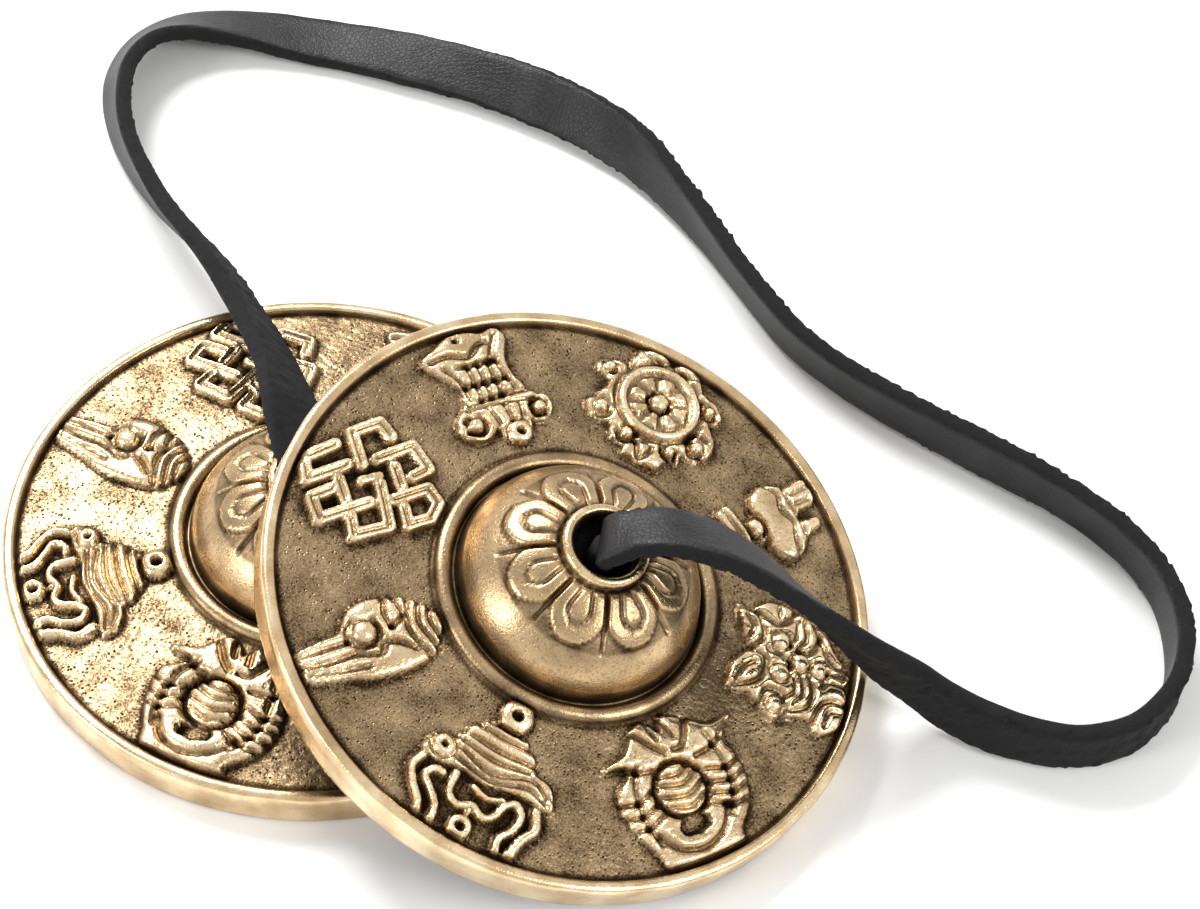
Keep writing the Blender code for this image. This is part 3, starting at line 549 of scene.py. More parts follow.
knotBars = [
    [(1.2, 3.7), (-2.4, 6.9), (-0.2, 8.2), (3.0, 5.8)],
    [(2.0, 2.2), (5.2, 4.7), (7.9, 2.4), (6.8, 0.6)],
    [(3.4, 1.0), (6.8, -1.9), (4.9, -4.6), (3.2, -3.4)],
    [(-0.4, -2.6), (2.6, -5.4), (1.4, -7.1), (-0.7, -7.0), (-2.6, -5.1), (-0.9, -3.9)],
    [(0.6, -0.5), (-3.7, -3.3), (-6.4, -0.2), (-4.6, 0.9)],
    [(-2.0, -0.2), (-6.3, 3.9), (-4.3, 5.7), (-2.2, 4.0)],
    [(-2.9, 2.2), (-0.9, 3.8)],
    [(1.4, -2.7), (3.4, -1.1)],
]
symbols = {
    "knot": {
        "at": (167.0, 24.6),
        "vein": [(1.7, bar) for bar in knotBars] + [(1.3, [(0.0, 1.6), (1.5, 0.0)])],
        "cut": [(0.10, bar) for bar in knotBars],
    },
    "conch": {
        "at": (209.7, 24.4),
        "mass": [
            [(-2.6, 9.0), (-3.7, 4.2), (-4.5, 1.6), (-4.6, -1.4), (-4.2, -4.4), (-3.4, -6.0), (-1.6, -7.2),
             (-0.4, -7.7), (1.4, -7.2), (3.3, -5.2), (4.1, -2.8), (4.4, -0.6), (4.0, 1.1), (2.9, 2.5),
             (1.6, 3.4), (1.3, 5.4), (0.4, 9.0)],
        ],
        "ball": [(0.8, 0.8, 1.3)],
        "cut": [
            (0.5, [(-1.2, 8.4), (-1.5, 5.5), (-1.3, 2.5), (-1.9, 0.0), (-0.9, -1.0), (-1.3, -2.5),
                   (-2.4, -4.0)]),
            (0.35, [(-2.2, 8.0), (-2.7, 4.5), (-3.0, 1.5)]),
            (0.45, [(-0.1, 8.2), (0.1, 5.5), (0.2, 3.0)]),
            (0.4, [(2.4, 1.8), (1.6, 2.6), (0.2, 2.7), (-0.8, 1.6), (-0.8, 0.0), (0.4, -0.9), (2.0, -0.6)]),
            (0.4, [(-3.5, -5.3), (0.0, -3.9), (3.2, -4.9)]),
            (0.35, [(-2.9, -6.3), (0.3, -5.2), (2.6, -6.0)]),
            (0.3, [(-1.8, -6.9), (0.2, -6.4), (1.6, -6.9)]),
            (0.4, [(0.6, -2.2), (2.4, -1.9), (3.9, -2.4)]),
            (0.35, [(0.6, -2.2), (1.6, -3.8), (3.8, -3.4)]),
        ],
    },
    "parasol": {
        "at": (253.7, 24.9),
        "mass": [
            [(-7.9, 0.8), (-7.4, -1.0), (-6.4, -1.9), (-4.9, -2.1), (-4.4, -3.2), (-3.0, -4.6), (-1.6, -5.5),
             (1.6, -5.5), (2.6, -4.6), (3.9, -3.2), (4.3, -1.7), (6.5, -1.2), (7.3, 0.4), (7.1, 1.4),
             (4.6, 1.6), (2.2, 1.2), (0.0, 1.6), (-2.4, 1.1), (-5.0, 0.9)],
        ],
        "vein": [
            (1.2, [(-6.5, 1.6), (-7.2, 3.5), (-6.3, 5.2), (-5.7, 7.9)]),
            (1.0, [(-4.4, 7.9), (-4.1, 6.2), (-5.1, 4.6), (-5.3, 2.9), (-4.2, 1.9), (-3.2, 2.8), (-2.7, 4.2),
                   (-1.6, 5.0), (-0.1, 4.3), (1.4, 5.0), (2.7, 4.1), (2.8, 1.9)]),
            (0.8, [(-2.8, 2.2), (-1.2, 2.9), (0.6, 2.4)]),
            (1.0, [(3.2, 7.9), (3.4, 6.2), (4.6, 4.8), (5.7, 3.7), (5.1, 2.6), (4.1, 2.6)]),
            (1.0, [(4.9, 7.9), (5.2, 6.5), (6.5, 5.0), (7.3, 3.4), (6.8, 1.8)]),
            (0.7, [(0.1, 5.9), (0.0, 5.0)]),
        ],
        "ball": [(-0.3, -6.9, 1.9), (0.1, 7.0, 1.35), (5.3, -0.2, 1.3)],
        "pit": [(-0.3, -6.9, 0.65), (0.1, 7.0, 0.6), (5.3, -0.2, 0.4)],
        "cut": [
            (0.4, [(-3.0, -4.2), (-0.4, -4.0), (2.5, -4.2)]),
            (0.4, [(-4.3, -2.8), (-0.4, -2.4), (3.7, -2.8)]),
            (0.4, [(-7.0, -0.3), (-4.6, -1.3), (-0.5, 0.2), (3.4, -0.9)]),
            (0.35, [(-7.2, 0.4), (-4.6, -0.3), (-0.8, 0.9), (3.4, 0.3)]),
            (0.35, [(-4.2, -2.0), (-0.4, -1.2), (3.6, -1.8)]),
            (0.3, [(-2.0, -5.0), (1.8, -5.0)]),
        ],
    },
    "fish": {
        "at": (306.9, 25.2),
        "mass": [
            [(-8.6, -5.3), (-6.2, -3.2), (-6.9, -1.0), (-6.7, 2.0), (-5.4, 4.6), (-3.5, 6.4), (-3.0, 8.0),
             (-1.0, 8.3), (1.0, 7.8), (3.4, 8.3), (6.4, 7.6), (7.0, 5.4), (8.0, 3.0), (8.4, 0.0),
             (8.0, -2.4), (5.8, -3.9), (8.4, -5.1), (5.2, -6.0), (3.4, -8.0), (1.4, -8.2), (0.4, -6.6),
             (-0.5, -8.2), (-3.0, -7.0), (-5.5, -5.3)],
        ],
        "ball": [(1.1, 0.0, 2.9)],
        "pit": [(1.5, 4.0, 1.15), (2.6, 4.1, 0.9), (0.4, 3.9, 0.9)],
        "cut": [
            (0.55, [(1.1, 3.1), (-1.1, 2.3), (-2.1, 0.1), (-1.2, -2.2), (1.1, -3.2), (3.3, -2.2), (4.3, 0.0),
                    (3.3, 2.3), (1.1, 3.1)]),
            (0.35, [(-1.0, -1.2), (1.0, -0.4), (3.2, -1.2)]),
            (0.35, [(-1.4, 0.1), (1.0, 0.9), (3.6, 0.1)]),
            (0.35, [(-0.9, 1.4), (1.0, 2.1), (3.1, 1.4)]),
            (0.35, [(-0.6, -2.1), (1.0, -1.6), (2.8, -2.1)]),
            (0.4, [(-3.0, 3.4), (-1.4, 5.6), (1.6, 6.7), (4.6, 5.8), (5.9, 3.6)]),
            (0.35, [(-4.6, -4.4), (-5.0, -1.0), (-4.6, 2.0), (-3.0, 4.6)]),
            (0.35, [(6.2, 4.6), (6.6, 1.6), (6.0, -2.0), (4.6, -4.0)]),
            (0.3, [(-6.6, -0.6), (-4.9, -0.2), (-2.6, -0.9)]),
            (0.3, [(-6.5, 0.8), (-4.7, 1.2), (-2.4, 0.6)]),
            (0.3, [(-6.2, 2.2), (-4.4, 2.5), (-2.2, 1.8)]),
            (0.3, [(-5.5, 3.7), (-3.8, 3.8), (-1.8, 2.8)]),
            (0.3, [(8.1, -0.8), (6.4, -0.4), (4.6, -1.0)]),
            (0.3, [(8.1, 0.8), (6.6, 1.1), (4.6, 0.6)]),
            (0.3, [(7.8, 2.3), (6.4, 2.5), (4.4, 1.8)]),
            (0.35, [(-6.0, -3.6), (-4.0, -2.8), (-2.2, -2.6)]),
            (0.35, [(5.9, -4.2), (4.4, -3.2), (3.2, -3.0)]),
            (0.4, [(-3.0, -6.8), (-1.4, -4.4), (-0.2, -4.2)]),
            (0.4, [(0.9, -4.2), (2.2, -5.6), (3.4, -7.4)]),
            (0.3, [(-0.4, -7.8), (-0.8, -5.6)]),
            (0.3, [(1.5, -7.8), (1.2, -6.0)]),
            (0.3, [(-7.8, -4.9), (-6.0, -4.0)]),
            (0.3, [(7.6, -4.9), (6.2, -4.4)]),
        ],
    },
    "lotus": {
        "at": (354.5, 26.0),
        "mass": [
            [(-4.6, -7.8), (-4.6, -6.0), (-6.0, -4.5), (-6.2, -1.8), (-5.5, 1.0), (-4.6, 3.0), (-2.6, 4.6),
             (-0.9, 6.6), (1.0, 6.4), (3.0, 6.9), (5.5, 6.8), (7.6, 4.4), (6.2, 2.6), (6.6, 0.4),
             (7.6, -1.6), (6.4, -3.4), (5.6, -5.0), (5.7, -7.2), (3.2, -7.4), (1.5, -6.4), (0.0, -5.6),
             (-1.8, -7.0)],
        ],
        "ball": [(0.0, 0.5, 1.05), (2.1, -1.6, 1.1), (-1.7, -2.1, 1.05), (0.1, 2.9, 0.95), (6.0, -1.6, 0.9)],
        "cut": [
            (0.4, [(-4.3, -7.4), (-3.9, -5.3), (-1.6, -4.2), (0.0, -5.2)]),
            (0.4, [(0.4, -5.6), (0.7, -3.7), (2.4, -3.4), (4.2, -4.3), (5.4, -6.6)]),
            (0.3, [(1.9, -4.7), (3.0, -5.8), (4.6, -6.4)]),
            (0.3, [(-3.4, -6.6), (-2.2, -5.6), (-1.0, -5.9)]),
            (0.4, [(-5.8, -1.0), (-4.6, -1.5), (-3.5, -3.0), (-4.4, -5.4)]),
            (0.3, [(-5.4, -3.0), (-4.6, -2.8)]),
            (0.4, [(7.2, -0.4), (5.5, -0.1), (4.4, -1.2), (4.6, -2.8), (6.2, -3.2)]),
            (0.4, [(-5.2, 1.4), (-3.6, 2.3), (-1.6, 1.6), (-1.3, 0.2)]),
            (0.28, [(-4.9, 0.2), (-3.0, 0.8), (-1.5, 0.0)]),
            (0.28, [(-4.7, -0.6), (-3.0, -0.4), (-1.6, -0.9)]),
            (0.4, [(1.2, 1.8), (2.8, 2.7), (4.9, 2.3), (5.9, 0.6)]),
            (0.28, [(1.5, 0.9), (3.4, 1.6), (5.1, 0.6)]),
            (0.28, [(1.9, 0.1), (3.4, 0.6), (4.6, -0.2)]),
            (0.4, [(-4.0, 2.6), (-2.2, 3.3), (-1.1, 4.6), (-0.9, 6.2)]),
            (0.4, [(0.9, 6.2), (1.1, 4.2), (2.0, 3.6)]),
            (0.4, [(3.1, 6.7), (3.2, 5.0), (4.2, 3.8), (6.2, 3.2)]),
            (0.3, [(4.2, 6.2), (4.6, 5.0), (6.4, 4.6)]),
            (0.35, [(0.0, 4.0), (0.0, 5.9)]),
            (0.4, [(-0.2, -3.4), (0.2, -1.0), (1.1, -0.4)]),
        ],
    },
    "vase": {
        "at": (36.5, 26.4),
        "mass": [
            [(-3.1, 0.6), (-2.4, 2.4), (-1.8, 3.4), (-2.2, 5.9), (-0.6, 6.4), (0.8, 6.2), (1.3, 4.8),
             (1.4, 3.6), (2.4, 3.4), (2.7, 5.3), (4.0, 5.2), (4.5, 3.2), (6.1, 1.4), (6.5, -0.4),
             (5.5, -1.8), (3.4, -2.5), (2.8, -3.6), (5.0, -4.1), (5.0, -5.3), (1.6, -6.2),
             (-1.7, -6.9), (-2.1, -4.3), (0.2, -3.7), (-0.2, -2.4), (-2.2, -1.6)],
        ],
        "ball": [(1.5, -2.9, 1.1)],
        "cut": [
            (0.4, [(-0.6, -2.3), (1.6, -1.9), (3.6, -2.2)]),
            (0.35, [(-2.8, 1.0), (-1.2, 1.9), (0.6, 1.2), (2.4, 2.0), (4.4, 1.1), (5.9, 0.8)]),
            (0.35, [(-1.6, 3.0), (0.4, 2.8), (2.4, 3.0), (4.0, 2.7)]),
            (0.4, [(-1.7, -4.4), (1.4, -4.0), (4.6, -4.2)]),
            (0.3, [(-1.6, -5.6), (1.6, -5.2), (4.6, -4.8)]),
            (0.3, [(-0.9, 5.8), (-0.7, 3.6)]),
            (0.3, [(0.4, 5.6), (0.5, 3.6)]),
        ],
    },
    "wheel": {
        "at": (75.3, 26.2),
        "mass": [
            [(-4.6, 4.6), (-4.2, 6.6), (-2.0, 7.3), (-0.1, 6.6), (1.6, 7.2), (3.4, 6.4), (4.4, 4.6),
             (6.4, 3.9), (7.6, 2.4), (6.4, 0.9), (7.8, -0.9), (7.9, -3.2), (6.4, -4.6), (4.8, -4.6),
             (4.8, -6.0), (3.4, -6.9), (2.6, -8.3), (-1.5, -8.3), (-1.9, -7.2), (-3.6, -6.9),
             (-4.2, -5.2), (-6.0, -5.6), (-7.7, -4.0), (-6.9, -2.2), (-6.1, 0.3), (-8.0, 1.0),
             (-7.9, 2.6), (-6.4, 3.4), (-4.8, 3.2)],
        ],
        "ring": [(0.1, 0.3, 4.5, 1.15)],
        "ball": [(0.1, 0.3, 1.15), (-5.9, -3.8, 0.8), (6.1, -3.0, 0.8), (-2.0, -5.6, 0.8), (3.3, -5.4, 0.7),
                 (-6.8, 1.9, 0.7), (5.9, 2.4, 0.7)],
        "spokes": (0.1, 0.3, 1.5, 3.6, 8),
        "cut": [
            (0.45, [(0.1 + 5.3 * math.cos(a), 0.3 + 5.3 * math.sin(a))
                    for a in np.linspace(0, math.tau, 25)]),
            (0.35, [(-7.4, -3.0), (-6.4, -2.4), (-5.0, -2.8), (-4.7, -4.4), (-5.8, -5.2)]),
            (0.35, [(7.0, -1.6), (5.4, -1.4), (4.8, -2.8), (5.6, -4.2), (7.0, -3.8)]),
            (0.3, [(-3.3, -5.8), (-2.4, -6.8), (-0.9, -6.2), (-0.8, -5.1)]),
            (0.3, [(4.2, -4.8), (4.2, -6.2), (2.6, -6.2), (2.3, -5.2)]),
            (0.35, [(-0.7, -6.0), (0.4, -5.6), (1.4, -6.0), (0.4, -8.0), (-0.7, -6.0)]),
            (0.35, [(-3.8, 6.2), (-2.2, 5.6), (-0.2, 6.4)]),
            (0.35, [(0.1, 6.4), (1.4, 5.6), (3.0, 6.0)]),
            (0.35, [(-7.4, 2.4), (-6.6, 2.9), (-5.6, 2.2), (-6.2, 1.2)]),
            (0.35, [(4.7, 3.2), (5.4, 3.5), (6.8, 2.6), (6.0, 1.4)]),
        ],
    },
    "banner": {
        "at": (120.4, 26.2),
        "mass": [
            [(-6.8, 3.8), (-4.8, 5.4), (-2.2, 6.7), (0.2, 6.6), (1.6, 6.2), (3.2, 6.6), (4.4, 5.2),
             (3.6, 3.2), (3.2, 2.2), (3.2, 0.3), (4.0, -1.6), (4.6, -2.6), (6.0, -3.4), (6.0, -5.2),
             (4.4, -6.3), (2.9, -5.9), (2.6, -7.6), (0.9, -8.8), (-0.9, -7.4), (-1.3, -6.1),
             (-3.0, -7.2), (-5.2, -6.6), (-5.9, -4.6), (-4.6, -3.0), (-4.0, -2.4), (-3.6, 0.0)],
        ],
        "ball": [(-3.8, -5.2, 0.9), (4.4, -4.6, 0.85), (0.9, -7.2, 1.45)],
        "pit": [(0.9, -7.2, 0.55), (-1.9, 5.7, 0.4)],
        "cut": [
            (0.45, [(-5.7, 3.7), (-3.6, 4.0), (-1.2, 3.4), (0.4, 4.6), (1.6, 4.9)]),
            (0.4, [(3.0, 5.6), (2.0, 4.0), (1.3, 2.6)]),
            (0.4, [(-4.6, 2.6), (-3.3, 0.8), (-2.9, -1.6)]),
            (0.4, [(1.9, 2.4), (2.2, 0.4), (2.7, -1.4)]),
            (0.45, [(-3.0, 2.3), (-0.5, 2.4), (1.8, 2.4)]),
            (0.45, [(-2.7, -0.2), (0.0, -0.1), (2.2, -0.1)]),
            (0.5, [(-3.4, -2.4), (0.0, -2.2), (3.6, -2.1)]),
            (0.4, [(-1.8, 2.2), (-1.6, -2.0)]),
            (0.4, [(-0.5, 2.2), (-0.4, -2.0)]),
            (0.4, [(0.8, 2.2), (0.9, -2.0)]),
            (0.4, [(-3.9, -3.1), (0.4, -3.0), (4.8, -3.4)]),
            (0.35, [(-4.9, -4.6), (-4.4, -4.0), (-3.0, -4.0), (-2.5, -5.4), (-3.4, -6.4), (-4.9, -5.9)]),
            (0.35, [(5.4, -4.2), (4.6, -3.5), (3.4, -4.2), (3.6, -5.5), (5.0, -5.5)]),
            (0.35, [(-1.4, -3.6), (-0.8, -5.6)]),
            (0.35, [(0.5, -3.4), (0.7, -5.5)]),
            (0.35, [(2.4, -3.8), (2.0, -5.6)]),
        ],
    },
}


def distanceToLine(x, y, line):
    best = np.full(x.shape, 99.0)
    for (ax, ay), (bx, by) in zip(line, line[1:]):
        dx, dy = bx - ax, by - ay
        share = np.clip(((x - ax) * dx + (y - ay) * dy) / max(dx * dx + dy * dy, 1e-9), 0, 1)
        best = np.minimum(best, np.hypot(x - ax - share * dx, y - ay - share * dy))
    return best


def insideOutline(x, y, outline):
    inside = np.zeros(x.shape, bool)
    for (ax, ay), (bx, by) in zip(outline, outline[1:] + outline[:1]):
        crosses = (ay > y) != (by > y)
        inside ^= crosses & (x < (bx - ax) * (y - ay) / (by - ay if by != ay else 1e-9) + ax)
    return inside


def easeLine(line, spans=4):
    # a smooth line through the stroke's points
    return [tuple(point) for point in smoothRows([list(point) for point in line], spans)]


def soften(value):
    value = np.clip(value, 0, 1)
    return value * value * (3 - 2 * value)


def symbolHeight(x, y, symbol, sharp):
    height = np.zeros(x.shape)
    for outline in symbol.get("mass", []):
        loop = smoothRows([list(p) for p in outline[-1:] + outline + outline[:2]], 3)[3:-4]
        edge = distanceToLine(x, y, loop + loop[:1])
        inside = insideOutline(x, y, loop)
        signed = np.where(inside, edge, -edge)
        rounded = np.sqrt(np.clip(1 - (1 - np.clip(edge / 1.5, 0, 1)) ** 2, 0, 1))
        height = np.maximum(height, soften((signed + 0.2) / 0.4) * (0.45 + 0.60 * rounded))
    for width, line in symbol.get("vein", []):
        away = distanceToLine(x, y, line if sharp else easeLine(line))
        height = np.maximum(height, soften((width / 2 + 0.22 - away) / 0.55))
    for cx, cy, radius, width in symbol.get("ring", []):
        away = np.hypot(x - cx, y - cy)
        height = np.where(away < radius, 0.45, height)
        height = np.maximum(height, 1.12 * soften((width / 2 + 0.2 - np.abs(away - radius)) / 0.5))
    if "spokes" in symbol:
        cx, cy, start, end, count = symbol["spokes"]
        away = np.hypot(x - cx, y - cy)
        around = np.arctan2(y - cy, x - cx) * count / math.tau
        gap = np.abs(around - np.round(around)) * math.tau / count * away
        bar = soften((away * 0.29 - gap) / 0.3) * soften((away - start) / 0.3) * soften((end - away) / 0.3)
        height = np.maximum(height, 0.95 * bar)
    for cx, cy, radius in symbol.get("ball", []):
        away = np.hypot(x - cx, y - cy)
        height = height - 0.5 * soften((0.35 - np.abs(away - radius - 0.12)) / 0.35) * (height > 0.3)
        height = np.where(away < radius, np.maximum(height, 0.55 + 0.75 * np.sqrt(
            np.clip(1 - (away / radius) ** 2, 0, 1))), height)
    for width, line in symbol.get("cut", []):
        away = distanceToLine(x, y, line if sharp else easeLine(line))
        height = height - (0.45 + 0.6 * width) * np.exp(-(away / (0.16 + 0.5 * width)) ** 2)
    for cx, cy, radius in symbol.get("pit", []):
        height = height - 1.2 * soften((radius + 0.15 - np.hypot(x - cx, y - cy)) / 0.4)
    return np.maximum(height, -0.12)


def petalHeight(radius, angle):
    # eight double petals: a round-ended outer leaf with a teardrop inside it
    count = casting["petals"]
    along = radius - 5.3
    pitch = math.tau / count
    offset = (angle + math.radians(12)) / pitch
    across = np.abs(offset - np.round(offset)) * pitch * radius
    halfGap = pitch * radius / 2
    reach = 5.4
    tipRound = 3.3 * np.sqrt(np.clip(1 - ((along - reach + 2.6) / 2.6) ** 2, 0, 1))
    outer = np.where(along < reach - 2.6, halfGap, np.minimum(halfGap, tipRound))
    leaf = soften((outer - across) / 0.45) * soften((reach - along) / 0.3)
    tip = 3.5
    tear = np.where(along < tip - 1.2, 0.55 + 0.7 * np.clip(along / (tip - 1.2), 0, 1),
                    1.25 * np.sqrt(np.clip(1 - ((along - tip + 1.2) / 1.2) ** 2, 0, 1)))
    groove = np.exp(-((across - tear) / 0.24) ** 2) * (along < tip + 0.1)
    groove = np.maximum(groove, np.exp(-((along - tip) / 0.22) ** 2) * (across < 0.6))
    between = np.exp(-((halfGap - across) / 0.25) ** 2) * soften((reach + 0.4 - along) / 0.5)
    height = leaf * 0.75 - 0.55 * groove * leaf - 0.5 * between
    return np.where((along > -0.1) & (along < reach + 0.8), height * soften((along + 0.1) / 0.4), 0.0)


def makeCasting():
    rings = faceRings()
    shape = bmesh.new()
    line = [shape.verts.new((r * mm, 0.0, z * mm)) for r, z in rings]
    edges = [shape.edges.new(pair) for pair in zip(line, line[1:] + line[:1])]
    bmesh.ops.spin(shape, geom=line + edges, cent=(0, 0, 0), axis=(0, 0, 1), dvec=(0, 0, 0), angle=math.tau,
                   steps=casting["aroundSteps"], use_merge=True, use_duplicate=False)
    bmesh.ops.recalc_face_normals(shape, faces=shape.faces)
    mesh = bpy.data.meshes.new("casting")
    shape.to_mesh(mesh)
    shape.free()

    spots = np.empty(len(mesh.vertices) * 3)
    mesh.vertices.foreach_get("co", spots)
    spots = spots.reshape(-1, 3) / mm
    radius = np.hypot(spots[:, 0], spots[:, 1])
    angle = np.arctan2(spots[:, 1], spots[:, 0])
    top = spots[:, 2] >= heightOf(radius) - 0.15
    rise = np.zeros(len(spots))
    for key, symbol in symbols.items():
        around, away = math.radians(symbol["at"][0]), symbol["at"][1]
        x = -radius * np.sin(angle - around)
        y = radius * np.cos(angle - around) - away
        near = top & (np.abs(x) < 10) & (np.abs(y) < 10) & (radius > 16.5) & (radius < plate["edge"])
        one = symbolHeight(x[near], y[near], symbol, key == "knot")
        rise[near] += one * soften((plate["edge"] - radius[near]) / 0.5)
    petals = top & (radius > 5.1) & (radius < 12)
    rise[petals] += petalHeight(radius[petals], angle[petals]) * casting["petalRise"]

    chance = np.random.default_rng(3)
    phases = chance.uniform(0, math.tau, 12)
    waves = sum(np.sin(angle * (3 + 2 * k) + radius * (0.3 + 0.17 * k) + phases[k]) for k in range(6)) / 6
    plateZone = top & (radius > 16.4) & (radius < plate["edge"])
    cast = np.where(plateZone, 0.05 * waves + 0.028 * chance.standard_normal(len(spots)), 0.0)
    rimWall = (radius > 34.6) & (spots[:, 2] > 0.2) & (spots[:, 2] < 4.6)

    # the relief rises square to the face: the dome's own slope, then the plate's
    slope = np.where(radius < 13.85, np.arctan2(dome["rise"] * radius / dome["radius"] ** 2, np.sqrt(
        np.clip(1 - (radius / dome["radius"]) ** 2, 0.002, 1))), 0.06)
    lift = rise * casting["reliefRise"] / mm + cast
    spots[:, 0] += lift * np.sin(slope) * np.cos(angle)
    spots[:, 1] += lift * np.sin(slope) * np.sin(angle)
    spots[:, 2] += lift * np.cos(slope)
    dent = np.where(rimWall, 0.06 * np.sin(angle * 9 + 1) + 0.05 * np.sin(angle * 23 + spots[:, 2]), 0.0)
    spots[:, 0] -= np.clip(dent, 0, 1) * np.cos(angle)
    spots[:, 1] -= np.clip(dent, 0, 1) * np.sin(angle)

    wearAndShade = wearAndShadeOf(radius, angle, spots, rise, top)
    field = soften((radius - 16.4) / 0.6) * soften((33.3 - radius) / 0.4) * top
    low = field * (1 - 0.75 * soften(rise / 0.6)) + 0.22 * (top & (radius < 16.4))
    # the rubbing, with painted shade round the foot of the relief
    mesh.attributes.new("wearAndShade", "FLOAT", "POINT").data.foreach_set("value", wearAndShade)
    mesh.attributes.new("sand", "FLOAT", "POINT").data.foreach_set("value", low)
    mesh.vertices.foreach_set("co", (spots * mm).ravel())
    mesh.update()
    mesh.shade_smooth()
    mesh.materials.append(bronzeFinish)
    return mesh


def placeCymbal(name, mesh, place, turn):
    own = mesh.copy()
    own.name = name
    own.transform(place @ Matrix.Rotation(turn, 4, "Z"))
    item = bpy.data.objects.new(name, own)
    scene.collection.objects.link(item)
    return item


def wearAndShadeOf(radius, angle, spots, rise, top):
    # how rubbed each point is, with painted shade at the foot of the raised work: its height over the
    # average of what lies round it, by spreading the heights on a coarse grid of angle and radius
    across = 0.35
    columns = 400
    rows = int(36 / across)
    column = ((angle % math.tau) / math.tau * columns).astype(int) % columns
    row = np.clip((radius / across).astype(int), 0, rows - 1)
    total = np.zeros((rows, columns))
    count = np.zeros((rows, columns))
    np.add.at(total, (row[top], column[top]), rise[top])
    np.add.at(count, (row[top], column[top]), 1)
    average = total / np.maximum(count, 1)
    for _ in range(3):
        average = (np.roll(average, 1, 1) + average + np.roll(average, -1, 1)) / 3
        average = (np.roll(average, 1, 0) + average + np.roll(average, -1, 0)) / 3
    over = rise - average[row, column]
    # painted shade: darker round the foot of the relief, on top of the real patina there
    foot = np.clip(average[row, column] * 1.6, 0, 1) * np.clip(1 - rise / 0.45, 0, 1)
    wearAndShade = 0.46 + 0.28 * np.clip(rise, -0.5, 1.2) + 0.50 * np.clip(over, -0.8, 0.7) - 0.34 * foot
    wearAndShade = np.where(radius > 33.5, 0.78, wearAndShade)
    groove = np.exp(-((radius - plate["edge"]) / 0.35) ** 2) + 0.8 * np.exp(-((radius - 14.0) / 0.3) ** 2)
    groove += 0.8 * np.exp(-((radius - 16.6) / 0.4) ** 2) + 0.7 * np.exp(-((radius - 5.15) / 0.25) ** 2)
    wearAndShade = np.where(top, wearAndShade - 0.38 * groove, wearAndShade)
    ringTop = np.exp(-((radius - bead["radius"]) / 0.6) ** 2)
    shoulder = (radius < 13.6) & (radius > 10.9) & top
    wearAndShade = wearAndShade + 0.12 * ringTop * top + 0.20 * shoulder
    collar = (radius < 5.0) & (radius > 3.9) & (spots[:, 2] > 15)
    wearAndShade = np.where(collar, 0.80, wearAndShade)
    wall = (radius > 34.8) & (spots[:, 2] < 4.6)
    wearAndShade = np.where(wall, 0.86 + 0.06 * np.sin(angle * 31), wearAndShade)
    under = ~top & (radius < 34.6) & (spots[:, 2] < 13)
    return np.where(under, 0.40, wearAndShade)


turns = {"rear": math.radians(-50.5), "front": math.radians(0.9)}
castingMesh = makeCasting()
rearCymbal = placeCymbal("rearCymbal", castingMesh, rearPlace, turns["rear"])
frontCymbal = placeCymbal("frontCymbal", castingMesh, frontPlace, turns["front"])
print("cymbals made")


# What moves with what

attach(rearCymbal, "rear_cymbal_body")
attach(frontCymbal, "front_cymbal_body")
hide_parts("rear_cymbal")
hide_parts("front_cymbal")
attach(rearKnot, "rear_strap_body")
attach(frontKnot, "front_knot_body")
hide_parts("rear_knot", "rear_neck")
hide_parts("front_knot", "front_neck")
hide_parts("rear_strap", "front_strap")
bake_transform(strapPiece)


# Studio: a white table and backdrop, a broad lamp high at the back left, a soft fill from the
# front right and a low lamp at the front left that catches the rims

studio = {
    "floor": "#f4f4f3",
    "tableSize": 3.0,
    "tableDrop": 0.02 * mm,
    "world": 0.6,
    "backdrop": 1.0,
    "aim": (0.02, 0.0, 0.0),
    "lamps": [  # name, place, size in metres, power in watts
        ("windowLamp", (-0.35, 0.45, 0.65), (0.35, 0.3), 8.0),
        ("fillLamp", (0.55, -0.25, 0.5), (0.3, 0.3), 2.4),
        ("rimLamp", (-0.55, -0.35, 0.3), (0.2, 0.3), 2.2),
    ],
}


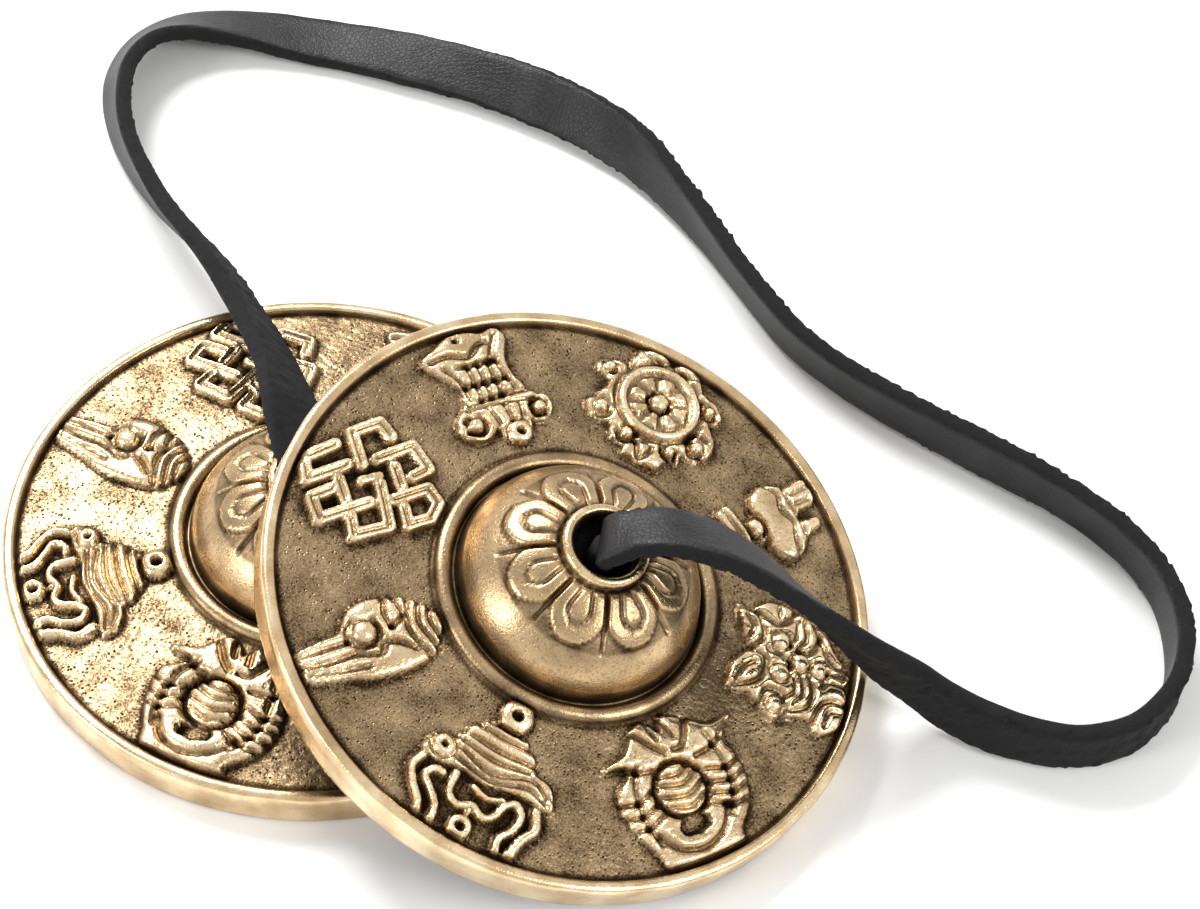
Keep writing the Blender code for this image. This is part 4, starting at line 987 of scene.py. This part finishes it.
def cameraWhite(tree, shader, strength):
    # the camera, reflections and glass see plain white; the lighting keeps its own strength
    path = addNode(tree, "ShaderNodeLightPath")
    seen = addNode(tree, "ShaderNodeMath",
                   {0: path.outputs["Is Camera Ray"], 1: path.outputs["Is Glossy Ray"]}, operation="MAXIMUM")
    seen = addNode(tree, "ShaderNodeMath", {0: seen.outputs[0], 1: path.outputs["Is Transmission Ray"]},
                   operation="MAXIMUM")
    white = addNode(tree, "ShaderNodeBackground", Color=(1, 1, 1, 1), Strength=strength)
    return addNode(tree, "ShaderNodeMixShader",
                   {0: seen.outputs[0], 1: shader.outputs[0], 2: white.outputs[0]})


def makeFloor():
    shape = bmesh.new()
    bmesh.ops.create_grid(shape, x_segments=1, y_segments=1, size=studio["tableSize"] / 2)
    bmesh.ops.translate(shape, vec=(0, 0, -studio["tableDrop"]), verts=shape.verts)
    mesh = bpy.data.meshes.new("table")
    shape.to_mesh(mesh)
    shape.free()
    item = bpy.data.objects.new("table", mesh)
    scene.collection.objects.link(item)
    made, tree, shader = startMaterial("paleTable")
    shader.inputs["Base Color"].default_value = toLinear(studio["floor"])
    shader.inputs["Roughness"].default_value = 0.9
    mesh.materials.append(made)


def makeLamp(name, spot, size, power):
    data = bpy.data.lights.new(name, "AREA")
    data.shape = "RECTANGLE"
    data.size, data.size_y = size
    data.energy = power
    item = bpy.data.objects.new(name, data)
    scene.collection.objects.link(item)
    item.location = spot
    item.rotation_euler = (Vector(studio["aim"]) - Vector(spot)).to_track_quat("-Z", "Y").to_euler()


makeFloor()
for lamp in studio["lamps"]:
    makeLamp(*lamp)
world = bpy.data.worlds.new("studio")
scene.world = world
world.use_nodes = True
background = world.node_tree.nodes["Background"]
background.inputs["Color"].default_value = (1, 1, 1, 1)
background.inputs["Strength"].default_value = studio["world"]
mixed = cameraWhite(world.node_tree, background, studio["backdrop"])
world.node_tree.links.new(mixed.outputs[0], world.node_tree.nodes["World Output"].inputs["Surface"])
scene.view_settings.view_transform = "Standard"
print("studio made")
